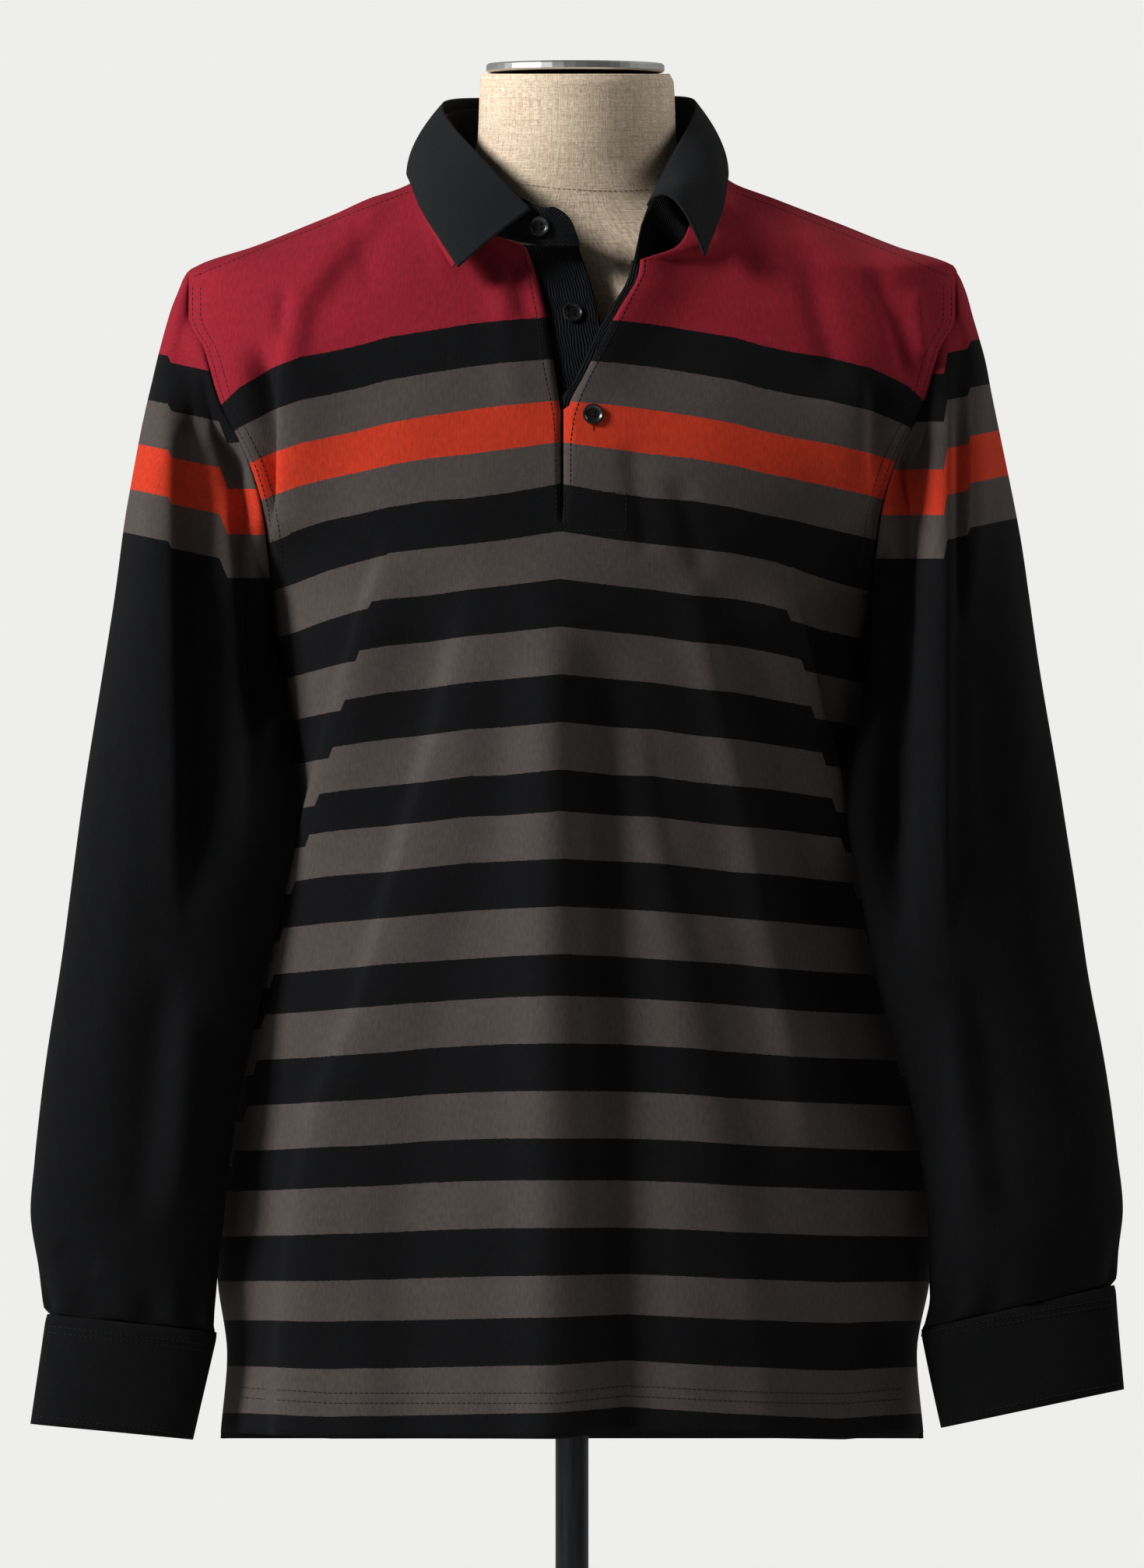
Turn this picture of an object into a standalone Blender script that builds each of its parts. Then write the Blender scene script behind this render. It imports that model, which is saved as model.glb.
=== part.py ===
"""A long-sleeve polo shirt worn by a limbless dress form on a pole with a round base.

Metres, +Z up. The object faces -Y and stands on z = 0, with its pole on the Z axis. Left and
right are the wearer's: the wearer's right sleeve is at -X.

The shirt's body is a stack of horizontal sections, rounded like a flattened circle and sized by
the TORSO table. The front and back panels, the neckline and the armholes are stretches of those
sections. A sleeve starts on the armhole and settles onto its own table of sections. Each cloth
piece is an open surface that a Solidify modifier thickens.
"""

import math
from collections import namedtuple

import bmesh
import bpy
import numpy as np
from mathutils import Vector

# Driving dimensions.
CLOTH = 0.0012
LINING = 0.0010
LAYER_GAP = 0.0007
LAYER = (CLOTH + LINING) / 2 + LAYER_GAP
SIDE_GAP = 0.0006
SHOULDER_GAP = 0.0014
ARMHOLE_GAP = 0.0010
UNDERARM_GAP = 0.0014
HEM_Z = 0.767
VENT_HEIGHT = 0.038
VENT_SPREAD = 0.10
SHOULDER_TIP_Z = 1.4705
UNDERARM_Z = 1.274
SLEEVE_SETTLE = 0.10
NECK_FRONT_RIGHT_Z = 1.4855
NECK_FRONT_LEFT_Z = 1.4785
NECK_SIDE_Z = 1.530
NECK_BACK_Z = 1.541
SLIT_TOP_Z = 1.388
SLIT_X = -0.006
PLACKET_BOTTOM_Z = 1.315
UNDERLAP_TUCK = 0.004
FORM_TOP_Z = 1.5908
FORM_BOTTOM_Z = 0.830
CAP_RADIUS = 0.0538
CAP_THICK = 0.0052
CAP_X = 0.002
POLE_RADIUS = 0.010
BASE_RADIUS = 0.170
BASE_THICK = 0.010
BASE_BOSS_RADIUS = 0.028
BASE_BOSS_HEIGHT = 0.045
EDGE_STEPS = (0.0, 0.011, 0.022, 0.034)
STEADY_TURN = 0.75
STEADY_SHARE = 0.7
BUTTON_RADIUS = 0.0063
BUTTON_THICK = 0.0026

# Resolution.
FRONT_COLUMNS = 9
BACK_HALF_COLUMNS = 9
SLEEVE_COLUMNS = 18
HEAD_ROWS = 6
COLLAR_COLUMNS = 22
STRIP_COLUMNS = 5
FORM_COLUMNS = 28

# The shirt's body: half width, offset of its middle, depth to the front and back, roundness.
Torso = namedtuple("Torso", "z half mid front back power")
TORSO = [
    Torso(0.767, 0.2120, 0.000, 0.112, 0.108, 2.15),
    Torso(0.818, 0.2080, 0.000, 0.1135, 0.108, 2.15),
    Torso(0.864, 0.2140, 0.001, 0.115, 0.108, 2.15),
    Torso(0.930, 0.2105, 0.003, 0.117, 0.109, 2.15),
    Torso(0.975, 0.2010, 0.002, 0.118, 0.110, 2.15),
    Torso(1.010, 0.1930, 0.001, 0.119, 0.111, 2.15),
    Torso(1.060, 0.1850, 0.000, 0.120, 0.112, 2.15),
    Torso(1.144, 0.1750, 0.000, 0.122, 0.113, 2.15),
    Torso(1.200, 0.1740, 0.000, 0.124, 0.115, 2.15),
    Torso(1.240, 0.1725, 0.000, 0.126, 0.117, 2.15),
    Torso(1.262, 0.1755, 0.000, 0.127, 0.118, 2.2),
    Torso(1.274, 0.1800, 0.000, 0.127, 0.118, 2.2),
    Torso(1.300, 0.1920, 0.000, 0.1265, 0.118, 2.3),
    Torso(1.326, 0.2050, 0.000, 0.1255, 0.118, 2.4),
    Torso(1.367, 0.2265, 0.000, 0.121, 0.117, 2.5),
    Torso(1.400, 0.2400, 0.000, 0.1145, 0.113, 2.5),
    Torso(1.424, 0.2430, 0.000, 0.107, 0.108, 2.5),
    Torso(1.448, 0.2400, 0.000, 0.0975, 0.101, 2.45),
    Torso(1.471, 0.2320, 0.000, 0.086, 0.092, 2.4),
    Torso(1.4745, 0.2280, 0.002, 0.084, 0.090, 2.4),
    Torso(1.486, 0.1945, 0.002, 0.078, 0.086, 2.3),
    Torso(1.500, 0.1590, 0.002, 0.068, 0.080, 2.2),
    Torso(1.515, 0.1210, 0.001, 0.056, 0.074, 2.2),
    Torso(1.524, 0.0980, 0.000, 0.048, 0.071, 2.2),
    Torso(1.535, 0.0840, 0.000, 0.042, 0.0685, 2.2),
    Torso(1.546, 0.0770, 0.000, 0.040, 0.067, 2.2),
]

# How far from the middle the armhole seam lies, in front and behind.
Armhole = namedtuple("Armhole", "z front back")
ARMHOLE = [
    Armhole(1.2740, 0.1800, 0.1800),
    Armhole(1.2790, 0.1765, 0.1780),
    Armhole(1.2850, 0.1745, 0.1765),
    Armhole(1.3000, 0.1755, 0.1800),
    Armhole(1.3260, 0.1830, 0.1900),
    Armhole(1.3535, 0.1940, 0.2005),
    Armhole(1.3670, 0.2000, 0.2060),
    Armhole(1.3890, 0.2110, 0.2145),
    Armhole(1.4000, 0.2150, 0.2175),
    Armhole(1.4240, 0.2220, 0.2230),
    Armhole(1.4480, 0.2284, 0.2285),
    Armhole(1.4705, 0.2317, 0.2317),
]

# Where the neckline crosses the front, from the slashed opening out to the shoulder seam.
Neckline = namedtuple("Neckline", "z right left")
NECKLINE = [
    Neckline(1.4785, 0.0270, 0.0400),
    Neckline(1.4855, 0.0280, 0.0620),
    Neckline(1.4920, 0.0430, 0.0680),
    Neckline(1.5000, 0.0570, 0.0710),
    Neckline(1.5150, 0.0720, 0.0750),
    Neckline(1.5240, 0.0770, 0.0780),
    Neckline(1.5300, 0.0795, 0.0795),
]

# The slashed opening: x of the front's two edges, of the underlap's free edge and of the
# facing's free edge, and how far the left front rolls forward there.
Opening = namedtuple("Opening", "z right_edge underlap_edge left_edge facing_edge roll")
OPENING = [
    Opening(1.3100, -0.0060, 0.0270, -0.0040, -0.0085, 0.0000),
    Opening(1.3880, -0.0075, 0.0250, -0.0020, -0.0085, 0.0000),
    Opening(1.4090, -0.0100, 0.0220, 0.0075, 0.0025, 0.0050),
    Opening(1.4340, -0.0140, 0.0185, 0.0200, 0.0145, 0.0110),
    Opening(1.4490, -0.0165, 0.0155, 0.0285, 0.0230, 0.0135),
    Opening(1.4700, -0.0220, 0.0100, 0.0400, 0.0345, 0.0160),
    Opening(1.4855, -0.0275, 0.0045, 0.0420, 0.0370, 0.0165),
]

# Sleeve sections: distances from the middle of the outer edge, front ridge, inner edge and back
# ridge, the y of the front, of the inner edge and of the back, the rise of the outer side over
# the inner side for each metre across, and the roundness of the outer and the body side.
Sleeve = namedtuple(
    "Sleeve", "z outer ridge inner back_ridge front inner_y back tilt power tuck"
)
SLEEVE_RIGHT = [
    Sleeve(1.4705, 0.2330, 0.2290, 0.2050, 0.2280, -0.020, 0.000, 0.022, 0.0, 2.0, 2.0),
    Sleeve(1.4570, 0.2385, 0.2335, 0.2000, 0.2335, -0.040, 0.000, 0.042, 0.0, 2.0, 2.0),
    Sleeve(1.4476, 0.2420, 0.2360, 0.1980, 0.2360, -0.048, 0.000, 0.048, 0.0, 2.0, 2.0),
    Sleeve(1.4240, 0.2480, 0.2385, 0.1950, 0.2380, -0.060, -0.010, 0.062, 0.0, 2.0, 2.0),
    Sleeve(1.4000, 0.2530, 0.2400, 0.1920, 0.2400, -0.070, -0.020, 0.070, 0.0, 1.9, 1.9),
    Sleeve(1.3675, 0.2595, 0.2405, 0.1900, 0.2420, -0.080, -0.030, 0.074, 0.0, 1.8, 1.8),
    Sleeve(1.3115, 0.2695, 0.2410, 0.1900, 0.2430, -0.090, -0.030, 0.074, 0.0, 1.7, 1.6),
    Sleeve(1.2740, 0.2760, 0.2415, 0.1830, 0.2450, -0.093, -0.030, 0.068, 0.0, 1.7, 1.5),
    Sleeve(1.2490, 0.2800, 0.2415, 0.1800, 0.2450, -0.093, -0.048, 0.060, 0.0, 1.7, 1.4),
    Sleeve(1.1970, 0.2880, 0.2415, 0.1725, 0.2460, -0.094, -0.064, 0.045, 0.0, 1.7, 1.35),
    Sleeve(1.1440, 0.2960, 0.2405, 0.1660, 0.2480, -0.096, -0.072, 0.032, 0.0, 1.7, 1.35),
    Sleeve(1.0940, 0.3030, 0.2390, 0.1740, 0.2500, -0.094, -0.070, 0.025, 0.0, 1.7, 1.35),
    Sleeve(1.0510, 0.3085, 0.2370, 0.1840, 0.2540, -0.090, -0.064, 0.020, 0.0, 1.7, 1.4),
    Sleeve(0.9680, 0.3200, 0.2500, 0.2040, 0.2620, -0.082, -0.054, 0.010, 0.03, 1.8, 1.5),
    Sleeve(0.9300, 0.3245, 0.2580, 0.2100, 0.2680, -0.078, -0.050, 0.005, 0.06, 1.8, 1.6),
    Sleeve(0.9000, 0.3270, 0.2650, 0.2130, 0.2690, -0.074, -0.047, 0.000, 0.08, 1.9, 1.8),
    Sleeve(0.8620, 0.3210, 0.2660, 0.2150, 0.2680, -0.066, -0.044, -0.012, 0.10, 2.0, 2.0),
    Sleeve(0.8375, 0.3165, 0.2660, 0.2155, 0.2660, -0.060, -0.043, -0.026, 0.107, 2.0, 2.0),
]
SLEEVE_LEFT = [
    Sleeve(1.4705, 0.2330, 0.2290, 0.2050, 0.2280, -0.020, 0.000, 0.022, 0.0, 2.0, 2.0),
    Sleeve(1.4570, 0.2380, 0.2330, 0.2000, 0.2335, -0.040, 0.000, 0.042, 0.0, 2.0, 2.0),
    Sleeve(1.4476, 0.2405, 0.2350, 0.1980, 0.2360, -0.048, 0.000, 0.048, 0.0, 2.0, 2.0),
    Sleeve(1.4240, 0.2465, 0.2360, 0.1950, 0.2380, -0.060, -0.010, 0.062, 0.0, 2.0, 2.0),
    Sleeve(1.4000, 0.2515, 0.2340, 0.1920, 0.2400, -0.070, -0.020, 0.070, 0.0, 1.9, 1.9),
    Sleeve(1.3675, 0.2580, 0.2310, 0.1900, 0.2420, -0.080, -0.030, 0.074, 0.0, 1.8, 1.8),
    Sleeve(1.3115, 0.2690, 0.2270, 0.1900, 0.2430, -0.090, -0.030, 0.074, 0.0, 1.7, 1.6),
    Sleeve(1.2740, 0.2750, 0.2260, 0.1830, 0.2450, -0.093, -0.030, 0.068, 0.0, 1.7, 1.5),
    Sleeve(1.2490, 0.2790, 0.2250, 0.1805, 0.2450, -0.093, -0.048, 0.060, 0.0, 1.7, 1.4),
    Sleeve(1.1970, 0.2875, 0.2240, 0.1740, 0.2460, -0.094, -0.064, 0.045, 0.0, 1.7, 1.35),
    Sleeve(1.1440, 0.2965, 0.2230, 0.1665, 0.2480, -0.096, -0.072, 0.032, 0.0, 1.7, 1.35),
    Sleeve(1.0970, 0.3040, 0.2240, 0.1740, 0.2500, -0.094, -0.070, 0.025, 0.0, 1.7, 1.35),
    Sleeve(1.0510, 0.3110, 0.2300, 0.1855, 0.2540, -0.090, -0.064, 0.020, 0.02, 1.7, 1.4),
    Sleeve(0.9660, 0.3250, 0.2560, 0.2110, 0.2660, -0.082, -0.054, 0.010, 0.08, 1.8, 1.5),
    Sleeve(0.9300, 0.3290, 0.2640, 0.2165, 0.2700, -0.078, -0.050, 0.005, 0.12, 1.8, 1.6),
    Sleeve(0.8950, 0.3320, 0.2700, 0.2180, 0.2720, -0.074, -0.047, 0.000, 0.17, 1.9, 1.8),
    Sleeve(0.8660, 0.3285, 0.2700, 0.2160, 0.2700, -0.066, -0.044, -0.012, 0.21, 2.0, 2.0),
    Sleeve(0.8470, 0.3265, 0.2690, 0.2115, 0.2690, -0.060, -0.043, -0.026, 0.232, 2.0, 2.0),
]
CUFF_RIGHT = [
    Sleeve(0.8365, 0.3165, 0.2660, 0.2155, 0.2660, -0.060, -0.043, -0.026, 0.107, 2.0, 2.0),
    Sleeve(0.7710, 0.3255, 0.2780, 0.2300, 0.2780, -0.056, -0.041, -0.026, 0.095, 2.0, 2.0),
]
CUFF_LEFT = [
    Sleeve(0.8460, 0.3265, 0.2690, 0.2115, 0.2690, -0.060, -0.043, -0.026, 0.232, 2.0, 2.0),
    Sleeve(0.7850, 0.3320, 0.2780, 0.2240, 0.2780, -0.056, -0.041, -0.026, 0.212, 2.0, 2.0),
]

# The largest folds, as straight furrows between two heights: positive depths stand out.
Fold = namedtuple("Fold", "z_top x_top z_low x_low width depth")
FRONT_FOLDS = [
    Fold(1.310, -0.124, 0.968, -0.208, 0.016, -0.0070),
    Fold(1.240, 0.156, 1.060, 0.176, 0.014, -0.0060),
    Fold(1.300, -0.006, 0.767, -0.006, 0.014, 0.0030),
    Fold(1.290, 0.022, 0.767, 0.028, 0.016, -0.0030),
    Fold(1.190, -0.060, 0.767, -0.066, 0.022, 0.0025),
    Fold(1.190, 0.090, 0.767, 0.100, 0.024, 0.0025),
]
BACK_FOLDS = [
    Fold(1.330, -0.120, 0.900, -0.180, 0.018, -0.0060),
    Fold(1.310, 0.126, 0.920, 0.184, 0.018, -0.0060),
    Fold(1.250, -0.040, 0.767, -0.050, 0.022, 0.0035),
    Fold(1.230, 0.048, 0.767, 0.060, 0.024, 0.0035),
]

# The collar from its right front end round the back of the neck to its left front end.
Collar = namedtuple("Collar", "roll edge")
COLLAR = [
    Collar((-0.0250, -0.0880, 1.5090), (-0.0690, -0.1050, 1.4740)),
    Collar((-0.0440, -0.0740, 1.5290), (-0.0800, -0.0900, 1.4910)),
    Collar((-0.0600, -0.0530, 1.5460), (-0.0905, -0.0680, 1.5080)),
    Collar((-0.0710, -0.0250, 1.5580), (-0.0965, -0.0370, 1.5230)),
    Collar((-0.0780, 0.0080, 1.5700), (-0.0990, 0.0050, 1.5315)),
    Collar((-0.0720, 0.0400, 1.5750), (-0.0880, 0.0520, 1.5290)),
    Collar((-0.0430, 0.0640, 1.5760), (-0.0510, 0.0830, 1.5310)),
    Collar((0.0020, 0.0740, 1.5770), (0.0020, 0.0930, 1.5330)),
    Collar((0.0460, 0.0640, 1.5770), (0.0530, 0.0830, 1.5310)),
    Collar((0.0730, 0.0400, 1.5760), (0.0890, 0.0520, 1.5290)),
    Collar((0.0765, 0.0080, 1.5700), (0.0985, 0.0050, 1.5315)),
    Collar((0.0715, -0.0230, 1.5600), (0.0960, -0.0340, 1.5230)),
    Collar((0.0625, -0.0470, 1.5450), (0.0905, -0.0640, 1.5080)),
    Collar((0.0540, -0.0700, 1.5220), (0.0790, -0.0990, 1.4810)),
]
STAND = [
    Collar((0.0045, -0.0880, 1.4895), (0.0050, -0.0880, 1.4870)),
    Collar((-0.0010, -0.0880, 1.5030), (0.0000, -0.0880, 1.4868)),
    Collar((-0.0100, -0.0870, 1.5100), (-0.0090, -0.0875, 1.4868)),
    Collar((-0.0200, -0.0845, 1.5110), (-0.0200, -0.0860, 1.4872)),
    Collar((-0.0420, -0.0680, 1.5230), (-0.0480, -0.0690, 1.5010)),
    Collar((-0.0570, -0.0480, 1.5400), (-0.0650, -0.0470, 1.5160)),
    Collar((-0.0670, -0.0220, 1.5520), (-0.0730, -0.0200, 1.5300)),
    Collar((-0.0740, 0.0080, 1.5640), (-0.0770, 0.0080, 1.5390)),
    Collar((-0.0690, 0.0370, 1.5690), (-0.0700, 0.0360, 1.5440)),
    Collar((-0.0410, 0.0600, 1.5700), (-0.0420, 0.0580, 1.5450)),
    Collar((0.0020, 0.0700, 1.5710), (0.0020, 0.0670, 1.5460)),
    Collar((0.0440, 0.0600, 1.5710), (0.0440, 0.0580, 1.5450)),
    Collar((0.0690, 0.0370, 1.5700), (0.0700, 0.0360, 1.5440)),
    Collar((0.0725, 0.0080, 1.5640), (0.0765, 0.0080, 1.5390)),
    Collar((0.0675, -0.0220, 1.5540), (0.0735, -0.0200, 1.5300)),
    Collar((0.0585, -0.0460, 1.5390), (0.0690, -0.0480, 1.5140)),
    Collar((0.0520, -0.0670, 1.5260), (0.0640, -0.0740, 1.4950)),
    Collar((0.0458, -0.0810, 1.5160), (0.0560, -0.0880, 1.4840)),
    Collar((0.0440, -0.0930, 1.5030), (0.0385, -0.1000, 1.4795)),
]

# The linen form, smaller all round than the shirt.
FORM = [
    Torso(0.830, 0.1650, 0.000, 0.098, 0.094, 2.2),
    Torso(0.900, 0.1660, 0.000, 0.100, 0.096, 2.2),
    Torso(1.000, 0.1560, 0.000, 0.096, 0.090, 2.2),
    Torso(1.100, 0.1480, 0.000, 0.096, 0.088, 2.2),
    Torso(1.200, 0.1540, 0.000, 0.105, 0.098, 2.2),
    Torso(1.300, 0.1700, 0.000, 0.115, 0.106, 2.2),
    Torso(1.350, 0.1820, 0.000, 0.114, 0.107, 2.3),
    Torso(1.400, 0.1950, 0.000, 0.103, 0.101, 2.4),
    Torso(1.440, 0.2020, 0.000, 0.087, 0.090, 2.4),
    Torso(1.462, 0.1980, 0.000, 0.074, 0.080, 2.3),
    Torso(1.478, 0.1780, 0.001, 0.067, 0.072, 2.2),
    Torso(1.492, 0.1400, 0.001, 0.060, 0.067, 2.2),
    Torso(1.506, 0.1020, 0.002, 0.057, 0.063, 2.1),
    Torso(1.518, 0.0780, 0.002, 0.056, 0.061, 2.05),
    Torso(1.532, 0.0665, 0.003, 0.056, 0.060, 2.0),
    Torso(1.552, 0.0600, 0.003, 0.057, 0.060, 2.0),
    Torso(1.585, 0.0585, 0.003, 0.057, 0.059, 2.0),
    Torso(1.5908, 0.0570, 0.002, 0.0555, 0.0575, 2.0),
]


def column(rows, name):
    """A smooth function of height through one column of a table, without overshoot."""
    ordered = sorted(rows, key=lambda row: row.z)
    heights = np.array([row.z for row in ordered])
    values = np.array([getattr(row, name) for row in ordered])
    step = np.diff(heights)
    rise = np.diff(values) / step
    slope = np.zeros(len(values))
    slope[0] = rise[0]
    slope[-1] = rise[-1]
    same_way = rise[:-1] * rise[1:] > 0
    product = 2 * rise[:-1] * rise[1:]
    total = np.where(same_way, rise[:-1] + rise[1:], 1.0)
    slope[1:-1] = np.where(same_way, product / total, 0.0)

    def at(z):
        i = int(np.clip(np.searchsorted(heights, z) - 1, 0, len(step) - 1))
        t = float(np.clip((z - heights[i]) / step[i], 0, 1))
        rising = (3 - 2 * t) * t * t
        value = values[i] * (1 - rising) + values[i + 1] * rising
        leaving = slope[i] * t * (1 - t) ** 2
        arriving = slope[i + 1] * t * t * (1 - t)
        return value + step[i] * (leaving - arriving)

    return at


def columns(rows):
    """All of a table's columns but its height, each as a smooth function of height."""
    return {name: column(rows, name) for name in rows[0]._fields if name != "z"}


torso = columns(TORSO)
armhole = columns(ARMHOLE)
neckline = columns(NECKLINE)
opening = columns(OPENING)


def ease(t):
    t = min(max(t, 0.0), 1.0)
    return t * t * (3 - 2 * t)


def signed_power(value, exponent):
    return math.copysign(abs(value) ** exponent, value)


def section_point(table, z, turn):
    """A point of a body section: turn 0 is +X, a quarter turn the front, a half turn -X."""
    exponent = 2 / table["power"](z)
    depth = table["front"](z) if math.sin(turn) > 0 else table["back"](z)
    x = table["mid"](z) + table["half"](z) * signed_power(math.cos(turn), exponent)
    return Vector((x, -depth * signed_power(math.sin(turn), exponent), z))


def turn_at(z, x):
    """The turn at which the front of the shirt's section reaches x."""
    share = (x - torso["mid"](z)) / torso["half"](z)
    share = min(max(share, -1.0), 1.0)
    return math.acos(signed_power(share, torso["power"](z) / 2))


def fold_height(folds, x, z):
    """How far the folds move the cloth out at a place."""
    total = 0.0
    for fold in folds:
        along = (fold.z_top - z) / (fold.z_top - fold.z_low)
        if along < 0 or along > 1.02:
            continue
        centre = fold.x_top + (fold.x_low - fold.x_top) * along
        fade_in = ease(along / 0.3)
        fade_out = 1.0 if fold.z_low <= HEM_Z else ease((1 - along) / 0.3)
        total += fold.depth * fade_in * fade_out * math.exp(-(((x - centre) / fold.width) ** 2))
    return total


def outward(point, x_middle=0.0):
    """The level direction away from the body's axis, leaning to the front and back."""
    return Vector((point.x - x_middle, point.y * 3.0, 0.0)).normalized()


def panel_point(z, turn, folds, shift=0.0):
    """A point of the front (turn up to half a turn) or back, shifted in y to part them."""
    point = section_point(torso, z, turn)
    point += outward(point) * fold_height(folds, point.x, z)
    point.y += shift
    return point


def side_turn(z, name):
    """How far from the section's end, as a turn, the panel's edge lies at this height."""
    if UNDERARM_Z < z < SHOULDER_TIP_Z:
        edge = armhole[name](z)
        share = (edge - abs(torso["mid"](z))) / torso["half"](z)
        return math.acos(min(share, 1.0) ** (torso["power"](z) / 2))
    return 0.0


def column_turn(inner, end, share):
    """The turn of a column between a panel's middle and its end. Most columns run straight down
    past the armhole, and the rest close up beside it."""
    steady = min(STEADY_TURN, end + (inner - end) * 0.55)
    if share < STEADY_SHARE:
        return inner + (steady - inner) * share / STEADY_SHARE
    return steady + (end - steady) * (share - STEADY_SHARE) / (1 - STEADY_SHARE)


def seam_offset(z):
    """Half the gap between the front and back at the side and shoulder seams."""
    if z > SHOULDER_TIP_Z - 0.001:
        return SHOULDER_GAP / 2
    vent_top = HEM_Z + VENT_HEIGHT
    return SIDE_GAP / 2 + max(0.0, vent_top - z) * VENT_SPREAD


def new_object(name, mesh):
    obj = bpy.data.objects.new(name, mesh)
    parts.objects.link(obj)
    mesh.shade_smooth()
    mesh.set_sharp_from_angle(angle=math.radians(50))
    return obj


def mesh_of_grids(name, grids, wrapped=False):
    """Quads through rows of points. Grids that share points are joined along them."""
    bm = bmesh.new()
    for grid in grids:
        rows = [[bm.verts.new(point) for point in row] for row in grid]
        for upper, lower in zip(rows, rows[1:]):
            count = len(upper)
            for i in range(count if wrapped else count - 1):
                j = (i + 1) % count
                bm.faces.new((upper[i], lower[i], lower[j], upper[j]))
    bmesh.ops.remove_doubles(bm, verts=bm.verts, dist=1e-5)
    mesh = bpy.data.meshes.new(name)
    bm.to_mesh(mesh)
    bm.free()
    return mesh


def cloth(name, grids, wrapped=False, thick=CLOTH):
    """A cloth piece: an open surface, thickened to both sides."""
    obj = new_object(name, mesh_of_grids(name, grids, wrapped))
    solidify = obj.modifiers.new("thickness", "SOLIDIFY")
    solidify.thickness = thick
    solidify.offset = 0
    return obj


def moved_in(grid, depth):
    """The same rows of points, moved along the surface's own normals towards the body."""
    moved = []
    for i, row in enumerate(grid):
        above, below = grid[max(i - 1, 0)], grid[min(i + 1, len(grid) - 1)]
        moved.append([])
        for j, point in enumerate(row):
            across = row[min(j + 1, len(row) - 1)] - row[max(j - 1, 0)]
            normal = across.cross(below[j] - above[j]).normalized()
            if normal.dot(Vector((point.x, point.y, 0.0))) < 0:
                normal = -normal
            moved[-1].append(point - normal * depth)
    return moved


def heights(*stretches):
    """Heights going down through stretches of (start, end, count), each end named once."""
    found = []
    for start, end, count in stretches:
        found += [start + (end - start) * i / count for i in range(count)]
    return found + [stretches[-1][1]]


def opening_x(z, side):
    """x where a half of the front ends towards the middle: slit, opening or neckline."""
    if z <= SLIT_TOP_Z:
        return SLIT_X
    if side < 0:
        if z > NECK_FRONT_RIGHT_Z:
            return -neckline["right"](z)
        return opening["right_edge"](z)
    if z > NECK_FRONT_LEFT_Z:
        return neckline["left"](z)
    return opening["left_edge"](z)


def left_roll(point):
    """How far the left front rolls forward beside the opening."""
    edge = opening_x(point.z, 1)
    near = math.exp(-(((point.x - edge) / 0.030) ** 2))
    fade = 1.0 - ease((point.z - 1.486) / 0.030)
    return opening["roll"](min(point.z, 1.4855)) * near * fade if point.x > SLIT_X else 0.0


def front_point(z, turn, side_gap=0.0):
    point = panel_point(z, turn, FRONT_FOLDS, -side_gap)
    point.y -= left_roll(point)
    return point


FRONT_LEVELS = heights(
    (NECK_SIDE_Z, 1.5, 4),
    (1.5, NECK_FRONT_RIGHT_Z, 2),
    (NECK_FRONT_RIGHT_Z, NECK_FRONT_LEFT_Z, 1),
    (NECK_FRONT_LEFT_Z, SHOULDER_TIP_Z, 1),
    (SHOULDER_TIP_Z, 1.455, 2),
    (1.455, SLIT_TOP_Z, 4),
    (SLIT_TOP_Z, 1.300, 5),
    (1.300, UNDERARM_Z, 3),
    (UNDERARM_Z, 1.238, 3),
    (1.238, HEM_Z, 9),
)


def front_half_row(z, side):
    """One row of a half of the front, from the middle out to the armhole or side seam."""
    end = side_turn(z, "front")
    gap = seam_offset(z) if end < 0.02 else 0.0
    inner = opening_x(z, side)
    near = [turn_at(z, inner + side * step) for step in EDGE_STEPS]
    first = near[-1] if side > 0 else math.pi - near[-1]
    row = [front_point(z, turn) for turn in near]
    for i in range(1, FRONT_COLUMNS + 1):
        share = i / FRONT_COLUMNS
        turn = column_turn(first, end, share)
        row.append(front_point(z, turn if side > 0 else math.pi - turn, gap * share))
    return row


def build_front():
    left_half = [front_half_row(z, 1) for z in FRONT_LEVELS]
    right_half = [list(reversed(front_half_row(z, -1))) for z in FRONT_LEVELS]
    paint(cloth("front", [right_half, left_half]), "striped_cloth")


def build_back():
    levels = heights(
        (NECK_BACK_Z, NECK_SIDE_Z, 1),
        (NECK_SIDE_Z, SHOULDER_TIP_Z, 5),
        (SHOULDER_TIP_Z, 1.455, 2),
        (1.455, 1.300, 6),
        (1.300, UNDERARM_Z, 3),
        (UNDERARM_Z, 1.238, 3),
        (1.238, HEM_Z, 7),
    )
    rows = []
    for z in levels:
        end = side_turn(z, "back")
        gap = seam_offset(z) if end < 0.02 else 0.0
        row = []
        for i in range(-BACK_HALF_COLUMNS, BACK_HALF_COLUMNS + 1):
            share = abs(i) / BACK_HALF_COLUMNS
            turn = column_turn(math.pi / 2, end, share)
            turn = -turn if i < 0 else turn - math.pi
            row.append(panel_point(z, turn, BACK_FOLDS, gap * share))
        rows.append(row)
    paint(cloth("back", [rows]), "striped_cloth")


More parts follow.
